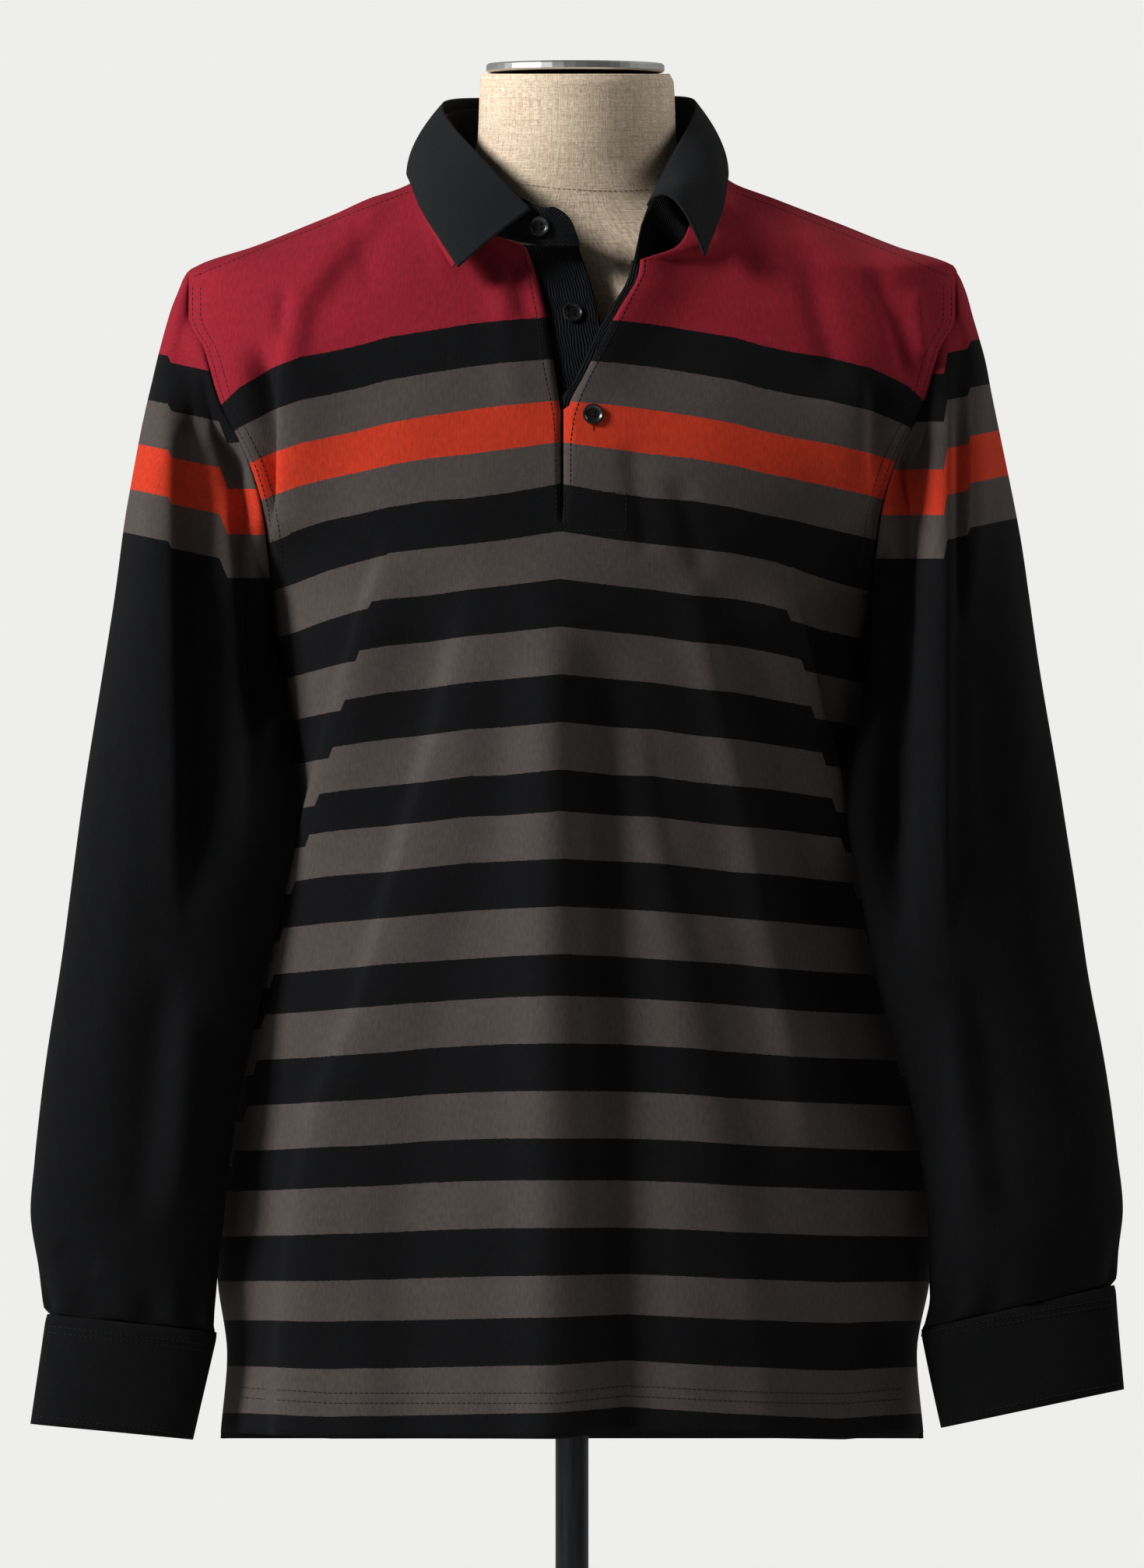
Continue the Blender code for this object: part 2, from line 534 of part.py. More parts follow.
def sleeve_section(table, z, turn):
    """A point of a sleeve section, as (distance from the middle, y): turn 0 is the outer edge,
    a quarter turn the front ridge, a half turn the inner edge."""
    front, back = table["front"](z), table["back"](z)
    outer_y = (front + back) / 2
    inner_y = table["inner_y"](z)
    ridge = table["ridge"](z) if math.sin(turn) >= 0 else table["back_ridge"](z)
    outside = math.cos(turn) >= 0
    side, side_y = (table["outer"](z), outer_y) if outside else (table["inner"](z), inner_y)
    far_y = front if math.sin(turn) >= 0 else back
    tucked = math.sin(turn) < 0 and not outside
    exponent = 2 / table["tuck" if tucked else "power"](z)
    across = ridge + (side - ridge) * abs(math.cos(turn)) ** exponent
    deep = side_y + (far_y - side_y) * abs(math.sin(turn)) ** exponent
    return across, deep


def armhole_point(turn):
    """The armhole seam as (distance from the middle, y, z): turn 0 is the shoulder tip."""
    z = SHOULDER_TIP_Z + (UNDERARM_Z - SHOULDER_TIP_Z) * (1 - math.cos(turn)) / 2
    name, facing = ("front", 1) if math.sin(turn) >= 0 else ("back", -1)
    body_turn = side_turn(z, name)
    point = section_point(torso, z, facing * body_turn)
    return point.x - torso["mid"](z), point.y, z


def sleeve_point(table, side, turn, z):
    """A sleeve point: on the armhole at its top, and on the sleeve's own section further down."""
    seam_x, seam_y, seam_z = armhole_point(turn)
    start_x, start_y = sleeve_section(table, seam_z, turn)
    here_x, here_y = sleeve_section(table, z, turn)
    hold = 1 - ease((seam_z - z) / SLEEVE_SETTLE)
    parting = ARMHOLE_GAP + UNDERARM_GAP * (1 - math.cos(turn)) / 2
    x = here_x + (seam_x + parting - start_x) * hold
    y = here_y + (seam_y - start_y) * hold
    lift = table["tilt"](z) * (here_x - table["ridge"](z))
    return Vector((side * x, y, z + lift))


def build_sleeve(name, side, rows, cuff_rows):
    table = columns(rows)
    settled_z = 1.235
    cuff_z = rows[-1].z
    lower = heights((settled_z, 1.05, 4), (1.05, 0.90, 3), (0.90, cuff_z, 2))
    grid = []
    for i in range(HEAD_ROWS):
        grid.append([])
        for j in range(SLEEVE_COLUMNS):
            turn = side * 2 * math.pi * j / SLEEVE_COLUMNS
            seam_z = armhole_point(turn)[2]
            share = (i / HEAD_ROWS) ** 1.25
            grid[-1].append(sleeve_point(table, side, turn, seam_z + (settled_z - seam_z) * share))
    for z in lower:
        turns = [side * 2 * math.pi * j / SLEEVE_COLUMNS for j in range(SLEEVE_COLUMNS)]
        grid.append([sleeve_point(table, side, turn, z) for turn in turns])
    sleeve = cloth(f"sleeve_{name}", [grid], wrapped=True)
    paint(sleeve, "striped_cloth")

    cuff_table = columns(cuff_rows)
    cuff_grid = []
    for z in heights((cuff_rows[0].z, cuff_rows[-1].z, 2)):
        ring = []
        for j in range(SLEEVE_COLUMNS):
            turn = side * 2 * math.pi * j / SLEEVE_COLUMNS
            x, y = sleeve_section(cuff_table, z, turn)
            lift = cuff_table["tilt"](z) * (x - cuff_table["ridge"](z))
            ring.append(Vector((side * x, y, z + lift)))
        cuff_grid.append(ring)
    cuff = cloth(f"cuff_{name}", [cuff_grid], wrapped=True, thick=CLOTH * 1.5)
    paint(cuff, "black_knit")


def along(points, t):
    """A smooth curve through points, t from 0 to 1."""
    place = t * (len(points) - 1)
    i = min(int(place), len(points) - 2)
    f = place - i
    before = points[i - 1] if i > 0 else points[i] * 2 - points[i + 1]
    after = points[i + 2] if i + 2 < len(points) else points[i + 1] * 2 - points[i]
    a, b = points[i], points[i + 1]
    slope_a, slope_b = (b - before) / 2, (after - a) / 2
    return (
        a * (2 * f**3 - 3 * f**2 + 1)
        + slope_a * (f**3 - 2 * f**2 + f)
        + b * (3 * f**2 - 2 * f**3)
        + slope_b * (f**3 - f**2)
    )


def collar_point(table, t, down, bulge):
    """A point of a collar piece: down 0 is its roll or top edge, down 1 its lower edge."""
    roll = along([Vector(row.roll) for row in table], t)
    edge = along([Vector(row.edge) for row in table], t)
    away = Vector((roll.x - 0.002, roll.y, 0.0)).normalized()
    point = roll + (edge - roll) * down
    return point + away * (bulge * 4 * down * (1 - down))


def collar_grid(table, rows, bulge, first=0.0, last=1.0):
    grid = []
    for i in range(rows + 1):
        down = first + (last - first) * i / rows
        grid.append(
            [
                collar_point(table, j / COLLAR_COLUMNS, down, bulge)
                for j in range(COLLAR_COLUMNS, -1, -1)
            ]
        )
    return grid


def build_collar():
    leaf = cloth("collar_leaf", [collar_grid(COLLAR, 4, 0.005)])
    paint(leaf, "black_knit")
    under_grid = moved_in(collar_grid(COLLAR, 4, 0.005, 0.10, 1.04), LAYER)
    under = cloth("collar_under", [under_grid], thick=LINING)
    paint(under, "crimson_knit")
    stand = cloth("collar_stand", [collar_grid(STAND, 3, 0.0)], thick=LINING)
    paint(stand, "black_twill")


def build_placket():
    """The facing lies behind the front's left edge, and the underlap behind both."""
    facing = []
    underlap = []
    for z in FRONT_LEVELS:
        if z > NECK_FRONT_LEFT_Z or z < PLACKET_BOTTOM_Z:
            continue
        edge = front_point(z, turn_at(z, opening["facing_edge"](z)))
        facing.append([edge] + front_half_row(z, 1)[: len(EDGE_STEPS)])
        start = opening["right_edge"](z) - UNDERLAP_TUCK
        width = opening["underlap_edge"](z) - start
        turns = [turn_at(z, start + width * i / STRIP_COLUMNS) for i in range(STRIP_COLUMNS + 1)]
        underlap.append([panel_point(z, turn, FRONT_FOLDS) for turn in turns])
    facing = moved_in(facing, LAYER)
    paint(cloth("placket_facing", [facing], thick=LINING), "black_twill")
    underlap = moved_in(underlap, LAYER * 2)
    paint(cloth("placket_underlap", [underlap], thick=LINING), "black_twill")


def build_form():
    table = columns(FORM)
    levels = heights(
        (FORM_TOP_Z, 1.585, 2),
        (1.585, 1.532, 3),
        (1.532, 1.492, 4),
        (1.492, 1.44, 4),
        (1.44, 1.30, 4),
        (1.30, FORM_BOTTOM_Z, 6),
    )
    bm = bmesh.new()
    rings = []
    for z in levels:
        turns = [2 * math.pi * j / FORM_COLUMNS for j in range(FORM_COLUMNS)]
        rings.append([bm.verts.new(section_point(table, z, -turn)) for turn in turns])
    for upper, lower in zip(rings, rings[1:]):
        for j in range(FORM_COLUMNS):
            k = (j + 1) % FORM_COLUMNS
            bm.faces.new((upper[j], lower[j], lower[k], upper[k]))
    bm.faces.new(rings[0])
    bm.faces.new(list(reversed(rings[-1])))
    bmesh.ops.recalc_face_normals(bm, faces=bm.faces)
    mesh = bpy.data.meshes.new("form_body")
    bm.to_mesh(mesh)
    bm.free()
    paint(new_object("form_body", mesh), "linen")


def turned(name, profile, place, steps, material):
    """A turned piece: its profile of (radius, height) runs down the outer side."""
    bm = bmesh.new()
    verts = [bm.verts.new((radius, 0.0, height)) for radius, height in profile]
    for a, b in zip(verts, verts[1:]):
        bm.edges.new((a, b))
    mesh = bpy.data.meshes.new(name)
    bm.to_mesh(mesh)
    bm.free()
    obj = new_object(name, mesh)
    obj.location = place
    screw = obj.modifiers.new("turn", "SCREW")
    screw.axis = "Z"
    screw.steps = steps
    screw.render_steps = steps
    screw.use_merge_vertices = True
    screw.merge_threshold = 0.0001
    screw.use_smooth_shade = True
    paint(obj, material)
    return obj


def build_stand():
    edge = 0.001
    half = CAP_THICK / 2
    turned(
        "neck_cap",
        [
            (0.0, half),
            (CAP_RADIUS - edge, half),
            (CAP_RADIUS, half - edge),
            (CAP_RADIUS, edge - half),
            (CAP_RADIUS - edge, -half),
            (0.0, -half),
        ],
        (CAP_X, 0.0, FORM_TOP_Z + LAYER_GAP + half),
        48,
        "bright_metal",
    )
    pole_bottom = BASE_THICK + BASE_BOSS_HEIGHT + LAYER_GAP
    pole_top = FORM_BOTTOM_Z - LAYER_GAP
    bpy.ops.mesh.primitive_cylinder_add(
        vertices=32,
        radius=POLE_RADIUS,
        depth=pole_top - pole_bottom,
        location=(0.0, 0.0, (pole_top + pole_bottom) / 2),
    )
    pole = bpy.context.object
    pole.name = "pole"
    for collection in list(pole.users_collection):
        collection.objects.unlink(pole)
    parts.objects.link(pole)
    pole.data.shade_smooth()
    pole.data.set_sharp_from_angle(angle=math.radians(50))
    paint(pole, "dark_chrome")
    lip = 0.003
    turned(
        "base",
        [
            (0.0, BASE_THICK + BASE_BOSS_HEIGHT),
            (BASE_BOSS_RADIUS * 0.6, BASE_THICK + BASE_BOSS_HEIGHT),
            (BASE_BOSS_RADIUS * 0.7, BASE_THICK + BASE_BOSS_HEIGHT - lip),
            (BASE_BOSS_RADIUS, BASE_THICK + lip),
            (BASE_BOSS_RADIUS + lip, BASE_THICK),
            (BASE_RADIUS - lip, BASE_THICK),
            (BASE_RADIUS, BASE_THICK - lip),
            (BASE_RADIUS, 0.0),
            (0.0, 0.0),
        ],
        (0.0, 0.0, 0.0),
        48,
        "dark_metal",
    )


def build_button(name, place, facing):
    """A four-hole button whose flat back faces away from `facing`."""
    rim = 0.0007
    radius = BUTTON_RADIUS
    button = turned(
        name,
        [
            (0.0, BUTTON_THICK * 0.62),
            (radius * 0.66, BUTTON_THICK * 0.62),
            (radius * 0.78, BUTTON_THICK),
            (radius - rim, BUTTON_THICK),
            (radius, BUTTON_THICK - rim),
            (radius, rim),
            (radius - rim, 0.0),
            (0.0, 0.0),
        ],
        place,
        28,
        "black_plastic",
    )
    rotation = Vector(facing).to_track_quat("Z", "Y")
    button.rotation_mode = "QUATERNION"
    button.rotation_quaternion = rotation
    bm = bmesh.new()
    for i in range(4):
        angle = math.pi / 4 + i * math.pi / 2
        holes = bmesh.ops.create_cone(
            bm, cap_ends=True, segments=8, radius1=0.0008, radius2=0.0008, depth=0.01
        )
        shift = Vector((math.cos(angle), math.sin(angle), 0.0)) * 0.0018
        bmesh.ops.translate(bm, verts=holes["verts"], vec=shift)
    mesh = bpy.data.meshes.new(f"{name}_holes")
    bm.to_mesh(mesh)
    bm.free()
    cutter = bpy.data.objects.new(f"{name}_holes", mesh)
    cutters.objects.link(cutter)
    cutter.location = place
    cutter.rotation_mode = "QUATERNION"
    cutter.rotation_quaternion = rotation
    cutter.hide_render = True
    cutter.display_type = "WIRE"
    cut = button.modifiers.new("holes", "BOOLEAN")
    cut.operation = "DIFFERENCE"
    cut.object = cutter


def build_buttons():
    build_button("button_collar", (-0.0190, -0.0885, 1.4980), (-0.10, -1.0, 0.12))
    lap = panel_point(1.4455, turn_at(1.4455, 0.0), FRONT_FOLDS)
    build_button("button_upper", (0.0000, lap.y + 0.0022, 1.4455), (0.25, -1.0, 0.45))
    over = front_point(1.3850, turn_at(1.3850, 0.0127))
    build_button("button_lower", (0.0127, over.y - 0.0012, 1.3850), (0.05, -1.0, 0.12))


# Colour, roughness and metallic value of each material.
Finish = namedtuple("Finish", "color roughness metallic")
FINISHES = {
    "striped_cloth": Finish((0.10, 0.085, 0.08), 0.9, 0.0),
    "black_knit": Finish((0.012, 0.013, 0.014), 0.9, 0.0),
    "black_twill": Finish((0.008, 0.009, 0.011), 0.85, 0.0),
    "crimson_knit": Finish((0.33, 0.02, 0.04), 0.9, 0.0),
    "black_plastic": Finish((0.010, 0.010, 0.011), 0.35, 0.0),
    "linen": Finish((0.56, 0.47, 0.34), 0.95, 0.0),
    "bright_metal": Finish((0.55, 0.55, 0.56), 0.2, 1.0),
    "dark_chrome": Finish((0.16, 0.16, 0.18), 0.25, 1.0),
    "dark_metal": Finish((0.05, 0.05, 0.055), 0.45, 1.0),
}


def paint(obj, name):
    """Gives an object its own material of a named finish."""
    finish = FINISHES[name]
    material = bpy.data.materials.new(f"{obj.name}_{name}")
    material.use_nodes = True
    shader = material.node_tree.nodes["Principled BSDF"]
    shader.inputs["Base Color"].default_value = (*finish.color, 1.0)
    shader.inputs["Roughness"].default_value = finish.roughness
    shader.inputs["Metallic"].default_value = finish.metallic
    obj.data.materials.clear()
    obj.data.materials.append(material)


for leftover in list(bpy.data.objects):
    bpy.data.objects.remove(leftover, do_unlink=True)
parts = bpy.data.collections.new("polo_shirt_on_dress_form")
cutters = bpy.data.collections.new("cutters")
bpy.context.scene.collection.children.link(parts)
bpy.context.scene.collection.children.link(cutters)

build_form()
build_stand()
build_front()
build_back()
build_sleeve("right", -1, SLEEVE_RIGHT, CUFF_RIGHT)
build_sleeve("left", 1, SLEEVE_LEFT, CUFF_LEFT)
build_placket()
build_collar()
build_buttons()
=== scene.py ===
"""A long-sleeve polo shirt worn by a limbless dress form on a pole, as a studio picture.

Metres, +Z up; the shirt faces -Y and the wearer's right is at -X. The cloth pieces are fine
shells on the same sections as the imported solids. Their tables are read in the plane through the
pole, as the camera sees them, and `settle` moves each point along its line of sight to its depth.
Stripe heights and folds are laid out in that same plane.
"""

import math
from collections import namedtuple

import bmesh
import bpy
import numpy as np
from mathutils import Matrix, Vector
from mathutils.bvhtree import BVHTree


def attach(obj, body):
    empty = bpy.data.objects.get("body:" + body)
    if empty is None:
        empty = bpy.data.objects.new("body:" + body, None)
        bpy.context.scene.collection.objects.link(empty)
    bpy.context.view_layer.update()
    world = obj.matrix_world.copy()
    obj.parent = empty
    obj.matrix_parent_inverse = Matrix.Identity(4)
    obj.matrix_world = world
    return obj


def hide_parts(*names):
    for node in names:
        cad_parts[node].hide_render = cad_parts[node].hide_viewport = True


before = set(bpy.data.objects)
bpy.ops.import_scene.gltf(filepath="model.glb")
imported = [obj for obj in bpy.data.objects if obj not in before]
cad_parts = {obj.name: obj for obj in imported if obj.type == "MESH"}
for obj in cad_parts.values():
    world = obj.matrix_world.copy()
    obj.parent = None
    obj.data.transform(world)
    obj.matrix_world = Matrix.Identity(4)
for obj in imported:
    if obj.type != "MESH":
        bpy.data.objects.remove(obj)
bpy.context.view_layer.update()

# ------------------------------------------------------------------ measures
CAMERA_DISTANCE = 10.0
CAMERA_Z = 1.162
VIEW_HEIGHT = 0.9466
SENSOR_HEIGHT = 36.0
HEM_Z = 0.767
VENT_TOP_Z = 0.808
SHOULDER_TIP_Z = 1.4705
UNDERARM_Z = 1.274
# Rows of the body panels lie closer between these heights.
ABOVE_UNDERARM_Z = 1.300
BELOW_UNDERARM_Z = 1.238
SLEEVE_SETTLE = 0.10
NECK_FRONT_RIGHT_Z = 1.4855
NECK_FRONT_LEFT_Z = 1.4785
NECK_SIDE_Z = 1.530
NECK_BACK_Z = 1.541
SLIT_TOP_Z = 1.388
SLIT_X = -0.006
SLIT_END_Z = 1.320
PLACKET_BOTTOM_Z = 1.315
FACING_TOP_Z = 1.4800
FACING_WIDTH = 0.034
UNDERLAP_TOP_Z = 1.4890
CLOTH = 0.0009
CUFF_CLOTH = 1.8 * CLOTH
LEAF_CLOTH = 0.0014
STAND_CLOTH = 0.0011
LEAF_BULGE = 0.005
UNDER_LEAF = 0.0016
BEHIND_FRONT_FACING = 0.0016
BEHIND_FRONT_UNDERLAP = 0.0034
PLACKET_FOLDS = 0.25
SEAM_GAP = 0.0007
VENT_SPREAD = 0.08
SLEEVE_SETTLED_Z = 1.235
ROLL_TOP_Z = 1.4855

Torso = namedtuple("Torso", "z half mid front back power")
TORSO = [
    Torso(0.767, 0.2120, 0.000, 0.112, 0.108, 2.15),
    Torso(0.818, 0.2080, 0.000, 0.1135, 0.108, 2.15),
    Torso(0.864, 0.2140, 0.001, 0.115, 0.108, 2.15),
    Torso(0.930, 0.2105, 0.003, 0.117, 0.109, 2.15),
    Torso(0.975, 0.2010, 0.002, 0.118, 0.110, 2.15),
    Torso(1.010, 0.1930, 0.001, 0.119, 0.111, 2.15),
    Torso(1.060, 0.1850, 0.000, 0.120, 0.112, 2.15),
    Torso(1.144, 0.1750, 0.000, 0.122, 0.113, 2.15),
    Torso(1.200, 0.1748, 0.000, 0.124, 0.115, 2.15),
    Torso(1.240, 0.1782, 0.000, 0.126, 0.117, 2.15),
    Torso(1.262, 0.1806, 0.000, 0.127, 0.118, 2.2),
    Torso(1.274, 0.1826, 0.000, 0.127, 0.118, 2.2),
    Torso(1.300, 0.1920, 0.000, 0.1265, 0.118, 2.3),
    Torso(1.326, 0.2050, 0.000, 0.1255, 0.118, 2.4),
    Torso(1.367, 0.2265, 0.000, 0.121, 0.117, 2.5),
    Torso(1.400, 0.2400, 0.000, 0.1145, 0.113, 2.5),
    Torso(1.424, 0.2430, 0.000, 0.107, 0.108, 2.5),
    Torso(1.448, 0.2400, 0.000, 0.0975, 0.101, 2.45),
    Torso(1.471, 0.2320, 0.000, 0.086, 0.092, 2.4),
    Torso(1.4745, 0.2280, 0.002, 0.084, 0.090, 2.4),
    Torso(1.486, 0.1945, 0.002, 0.078, 0.086, 2.3),
    Torso(1.500, 0.1590, 0.002, 0.068, 0.080, 2.2),
    Torso(1.515, 0.1210, 0.001, 0.056, 0.074, 2.2),
    Torso(1.524, 0.0980, 0.000, 0.048, 0.071, 2.2),
    Torso(1.535, 0.0840, 0.000, 0.042, 0.0685, 2.2),
    Torso(1.546, 0.0770, 0.000, 0.040, 0.067, 2.2),
]

Armhole = namedtuple("Armhole", "z front back")
ARMHOLE = [
    Armhole(1.2740, 0.1800, 0.1800),
    Armhole(1.2790, 0.1806, 0.1820),
    Armhole(1.2850, 0.1814, 0.1838),
    Armhole(1.3000, 0.1826, 0.1858),
    Armhole(1.3260, 0.1860, 0.1905),
    Armhole(1.3535, 0.1940, 0.2005),
    Armhole(1.3670, 0.2000, 0.2060),
    Armhole(1.3890, 0.2110, 0.2145),
    Armhole(1.4000, 0.2150, 0.2175),
    Armhole(1.4240, 0.2220, 0.2230),
    Armhole(1.4440, 0.2318, 0.2285),
    Armhole(1.4705, 0.2317, 0.2317),
]

Neckline = namedtuple("Neckline", "z right left")
NECKLINE = [
    Neckline(1.4785, 0.0270, 0.0400),
    Neckline(1.4855, 0.0280, 0.0620),
    Neckline(1.4920, 0.0430, 0.0680),
    Neckline(1.5000, 0.0570, 0.0710),
    Neckline(1.5150, 0.0720, 0.0750),
    Neckline(1.5240, 0.0770, 0.0780),
    Neckline(1.5300, 0.0795, 0.0795),
]

Opening = namedtuple("Opening", "z right_edge underlap_edge left_edge facing_edge roll")
OPENING = [
    Opening(1.3100, -0.0060, 0.0270, -0.0040, -0.0085, 0.0000),
    Opening(1.3880, -0.0075, 0.0250, -0.0020, -0.0085, 0.0000),
    Opening(1.4090, -0.0100, 0.0220, 0.0075, 0.0025, 0.0050),
    Opening(1.4340, -0.0140, 0.0185, 0.0200, 0.0145, 0.0110),
    Opening(1.4490, -0.0165, 0.0155, 0.0285, 0.0230, 0.0135),
    Opening(1.4700, -0.0220, 0.0100, 0.0400, 0.0345, 0.0160),
    Opening(1.4855, -0.0275, 0.0045, 0.0420, 0.0370, 0.0165),
]

Sleeve = namedtuple(
    "Sleeve", "z outer ridge inner back_ridge front inner_y back tilt power tuck"
)
SLEEVE_RIGHT = [
    Sleeve(1.4705, 0.2330, 0.2290, 0.2050, 0.2280, -0.020, 0.000, 0.022, 0.0, 2.0, 2.0),
    Sleeve(1.4570, 0.2385, 0.2335, 0.2000, 0.2335, -0.040, 0.000, 0.042, 0.0, 2.0, 2.0),
    Sleeve(1.4476, 0.2420, 0.2360, 0.1980, 0.2360, -0.048, 0.000, 0.048, 0.0, 2.0, 2.0),
    Sleeve(1.4240, 0.2480, 0.2385, 0.1950, 0.2380, -0.060, -0.010, 0.062, 0.0, 2.0, 2.0),
    Sleeve(1.4000, 0.2530, 0.2400, 0.1920, 0.2400, -0.070, -0.020, 0.070, 0.0, 1.9, 1.9),
    Sleeve(1.3675, 0.2595, 0.2405, 0.1900, 0.2420, -0.080, -0.030, 0.074, 0.0, 1.8, 1.8),
    Sleeve(1.3115, 0.2695, 0.2410, 0.1900, 0.2430, -0.0778, -0.030, 0.074, 0.0, 1.7, 1.6),
    Sleeve(1.2740, 0.2760, 0.2415, 0.1798, 0.2450, -0.0805, -0.030, 0.068, 0.0, 1.7, 1.5),
    Sleeve(1.2490, 0.2800, 0.2415, 0.1770, 0.2450, -0.0805, -0.042, 0.060, 0.0, 1.7, 1.4),
    Sleeve(1.1970, 0.2880, 0.2415, 0.1710, 0.2460, -0.0813, -0.048, 0.045, 0.0, 1.7, 1.35),
    Sleeve(1.1440, 0.2960, 0.2405, 0.1660, 0.2480, -0.0830, -0.057, 0.032, 0.0, 1.7, 1.35),
    Sleeve(1.0940, 0.3030, 0.2390, 0.1740, 0.2500, -0.0813, -0.053, 0.025, 0.0, 1.7, 1.35),
    Sleeve(1.0510, 0.3085, 0.2370, 0.1840, 0.2540, -0.0778, -0.052, 0.020, 0.0, 1.7, 1.4),
    Sleeve(0.9680, 0.3200, 0.2500, 0.2018, 0.2620, -0.0754, -0.050, 0.010, 0.03, 1.8, 1.5),
    Sleeve(0.9300, 0.3245, 0.2580, 0.2080, 0.2680, -0.078, -0.050, 0.005, 0.06, 1.8, 1.6),
    Sleeve(0.9000, 0.3270, 0.2650, 0.2112, 0.2690, -0.074, -0.047, 0.000, 0.08, 1.9, 1.8),
    Sleeve(0.8620, 0.3210, 0.2660, 0.2150, 0.2680, -0.066, -0.044, -0.012, 0.10, 2.0, 2.0),
    Sleeve(0.8375, 0.3165, 0.2660, 0.2155, 0.2660, -0.060, -0.043, -0.026, 0.107, 2.0, 2.0),
]
SLEEVE_LEFT = [
    Sleeve(1.4705, 0.2330, 0.2290, 0.2050, 0.2280, -0.020, 0.000, 0.022, 0.0, 2.0, 2.0),
    Sleeve(1.4570, 0.2380, 0.2330, 0.2000, 0.2335, -0.040, 0.000, 0.042, 0.0, 2.0, 2.0),
    Sleeve(1.4476, 0.2405, 0.2350, 0.1980, 0.2360, -0.048, 0.000, 0.048, 0.0, 2.0, 2.0),
    Sleeve(1.4240, 0.2465, 0.2360, 0.1950, 0.2380, -0.060, -0.010, 0.062, 0.0, 2.0, 2.0),
    Sleeve(1.4000, 0.2515, 0.2340, 0.1920, 0.2400, -0.070, -0.020, 0.070, 0.0, 1.9, 1.9),
    Sleeve(1.3675, 0.2580, 0.2310, 0.1900, 0.2420, -0.080, -0.030, 0.074, 0.0, 1.8, 1.8),
    Sleeve(1.3115, 0.2690, 0.2270, 0.1900, 0.2430, -0.0828, -0.030, 0.074, 0.0, 1.7, 1.6),
    Sleeve(1.2740, 0.2750, 0.2260, 0.1798, 0.2450, -0.0856, -0.030, 0.068, 0.0, 1.7, 1.5),
    Sleeve(1.2490, 0.2790, 0.2250, 0.1775, 0.2450, -0.0856, -0.048, 0.060, 0.0, 1.7, 1.4),
    Sleeve(1.1970, 0.2875, 0.2240, 0.1725, 0.2460, -0.0865, -0.064, 0.045, 0.0, 1.7, 1.35),
    Sleeve(1.1440, 0.2965, 0.2230, 0.1665, 0.2480, -0.0883, -0.072, 0.032, 0.0, 1.7, 1.35),
    Sleeve(1.0970, 0.3040, 0.2240, 0.1740, 0.2500, -0.0865, -0.070, 0.025, 0.0, 1.7, 1.35),
    Sleeve(1.0510, 0.3110, 0.2300, 0.1825, 0.2540, -0.0828, -0.064, 0.020, 0.02, 1.7, 1.4),
    Sleeve(0.9660, 0.3250, 0.2560, 0.2066, 0.2660, -0.0754, -0.054, 0.010, 0.08, 1.8, 1.5),
    Sleeve(0.9300, 0.3290, 0.2640, 0.2125, 0.2700, -0.078, -0.050, 0.005, 0.12, 1.8, 1.6),
    Sleeve(0.8950, 0.3320, 0.2700, 0.2162, 0.2720, -0.074, -0.047, 0.000, 0.17, 1.9, 1.8),
    Sleeve(0.8660, 0.3285, 0.2700, 0.2160, 0.2700, -0.066, -0.044, -0.012, 0.21, 2.0, 2.0),
    Sleeve(0.8470, 0.3265, 0.2690, 0.2115, 0.2690, -0.060, -0.043, -0.026, 0.232, 2.0, 2.0),
]
CUFF_RIGHT = [
    Sleeve(0.8365, 0.3165, 0.2660, 0.2155, 0.2660, -0.060, -0.043, -0.026, 0.107, 2.0, 2.0),
    Sleeve(0.7710, 0.3255, 0.2780, 0.2300, 0.2780, -0.056, -0.041, -0.026, 0.095, 2.0, 2.0),
]
CUFF_LEFT = [
    Sleeve(0.8460, 0.3265, 0.2690, 0.2115, 0.2690, -0.060, -0.043, -0.026, 0.232, 2.0, 2.0),
    Sleeve(0.7850, 0.3320, 0.2780, 0.2240, 0.2780, -0.056, -0.041, -0.026, 0.212, 2.0, 2.0),
]

Collar = namedtuple("Collar", "roll edge")
COLLAR = [
    Collar((-0.0250, -0.0880, 1.5090), (-0.0690, -0.1050, 1.4740)),
    Collar((-0.0440, -0.0740, 1.5290), (-0.0800, -0.0900, 1.4910)),
    Collar((-0.0600, -0.0530, 1.5460), (-0.0905, -0.0680, 1.5080)),
    Collar((-0.0710, -0.0250, 1.5580), (-0.0965, -0.0370, 1.5230)),
    Collar((-0.0780, 0.0080, 1.5700), (-0.0990, 0.0050, 1.5315)),
    Collar((-0.0720, 0.0400, 1.5750), (-0.0880, 0.0520, 1.5290)),
    Collar((-0.0430, 0.0640, 1.5760), (-0.0510, 0.0830, 1.5310)),
    Collar((0.0020, 0.0740, 1.5770), (0.0020, 0.0930, 1.5330)),
    Collar((0.0460, 0.0640, 1.5770), (0.0530, 0.0830, 1.5310)),
    Collar((0.0705, 0.0400, 1.5760), (0.0865, 0.0520, 1.5290)),
    Collar((0.0745, 0.0080, 1.5700), (0.0935, 0.0050, 1.5315)),
    Collar((0.0705, -0.0230, 1.5600), (0.0930, -0.0340, 1.5230)),
    Collar((0.0625, -0.0470, 1.5450), (0.0905, -0.0640, 1.5080)),
    Collar((0.0455, -0.0850, 1.5110), (0.0800, -0.0990, 1.4810)),
]
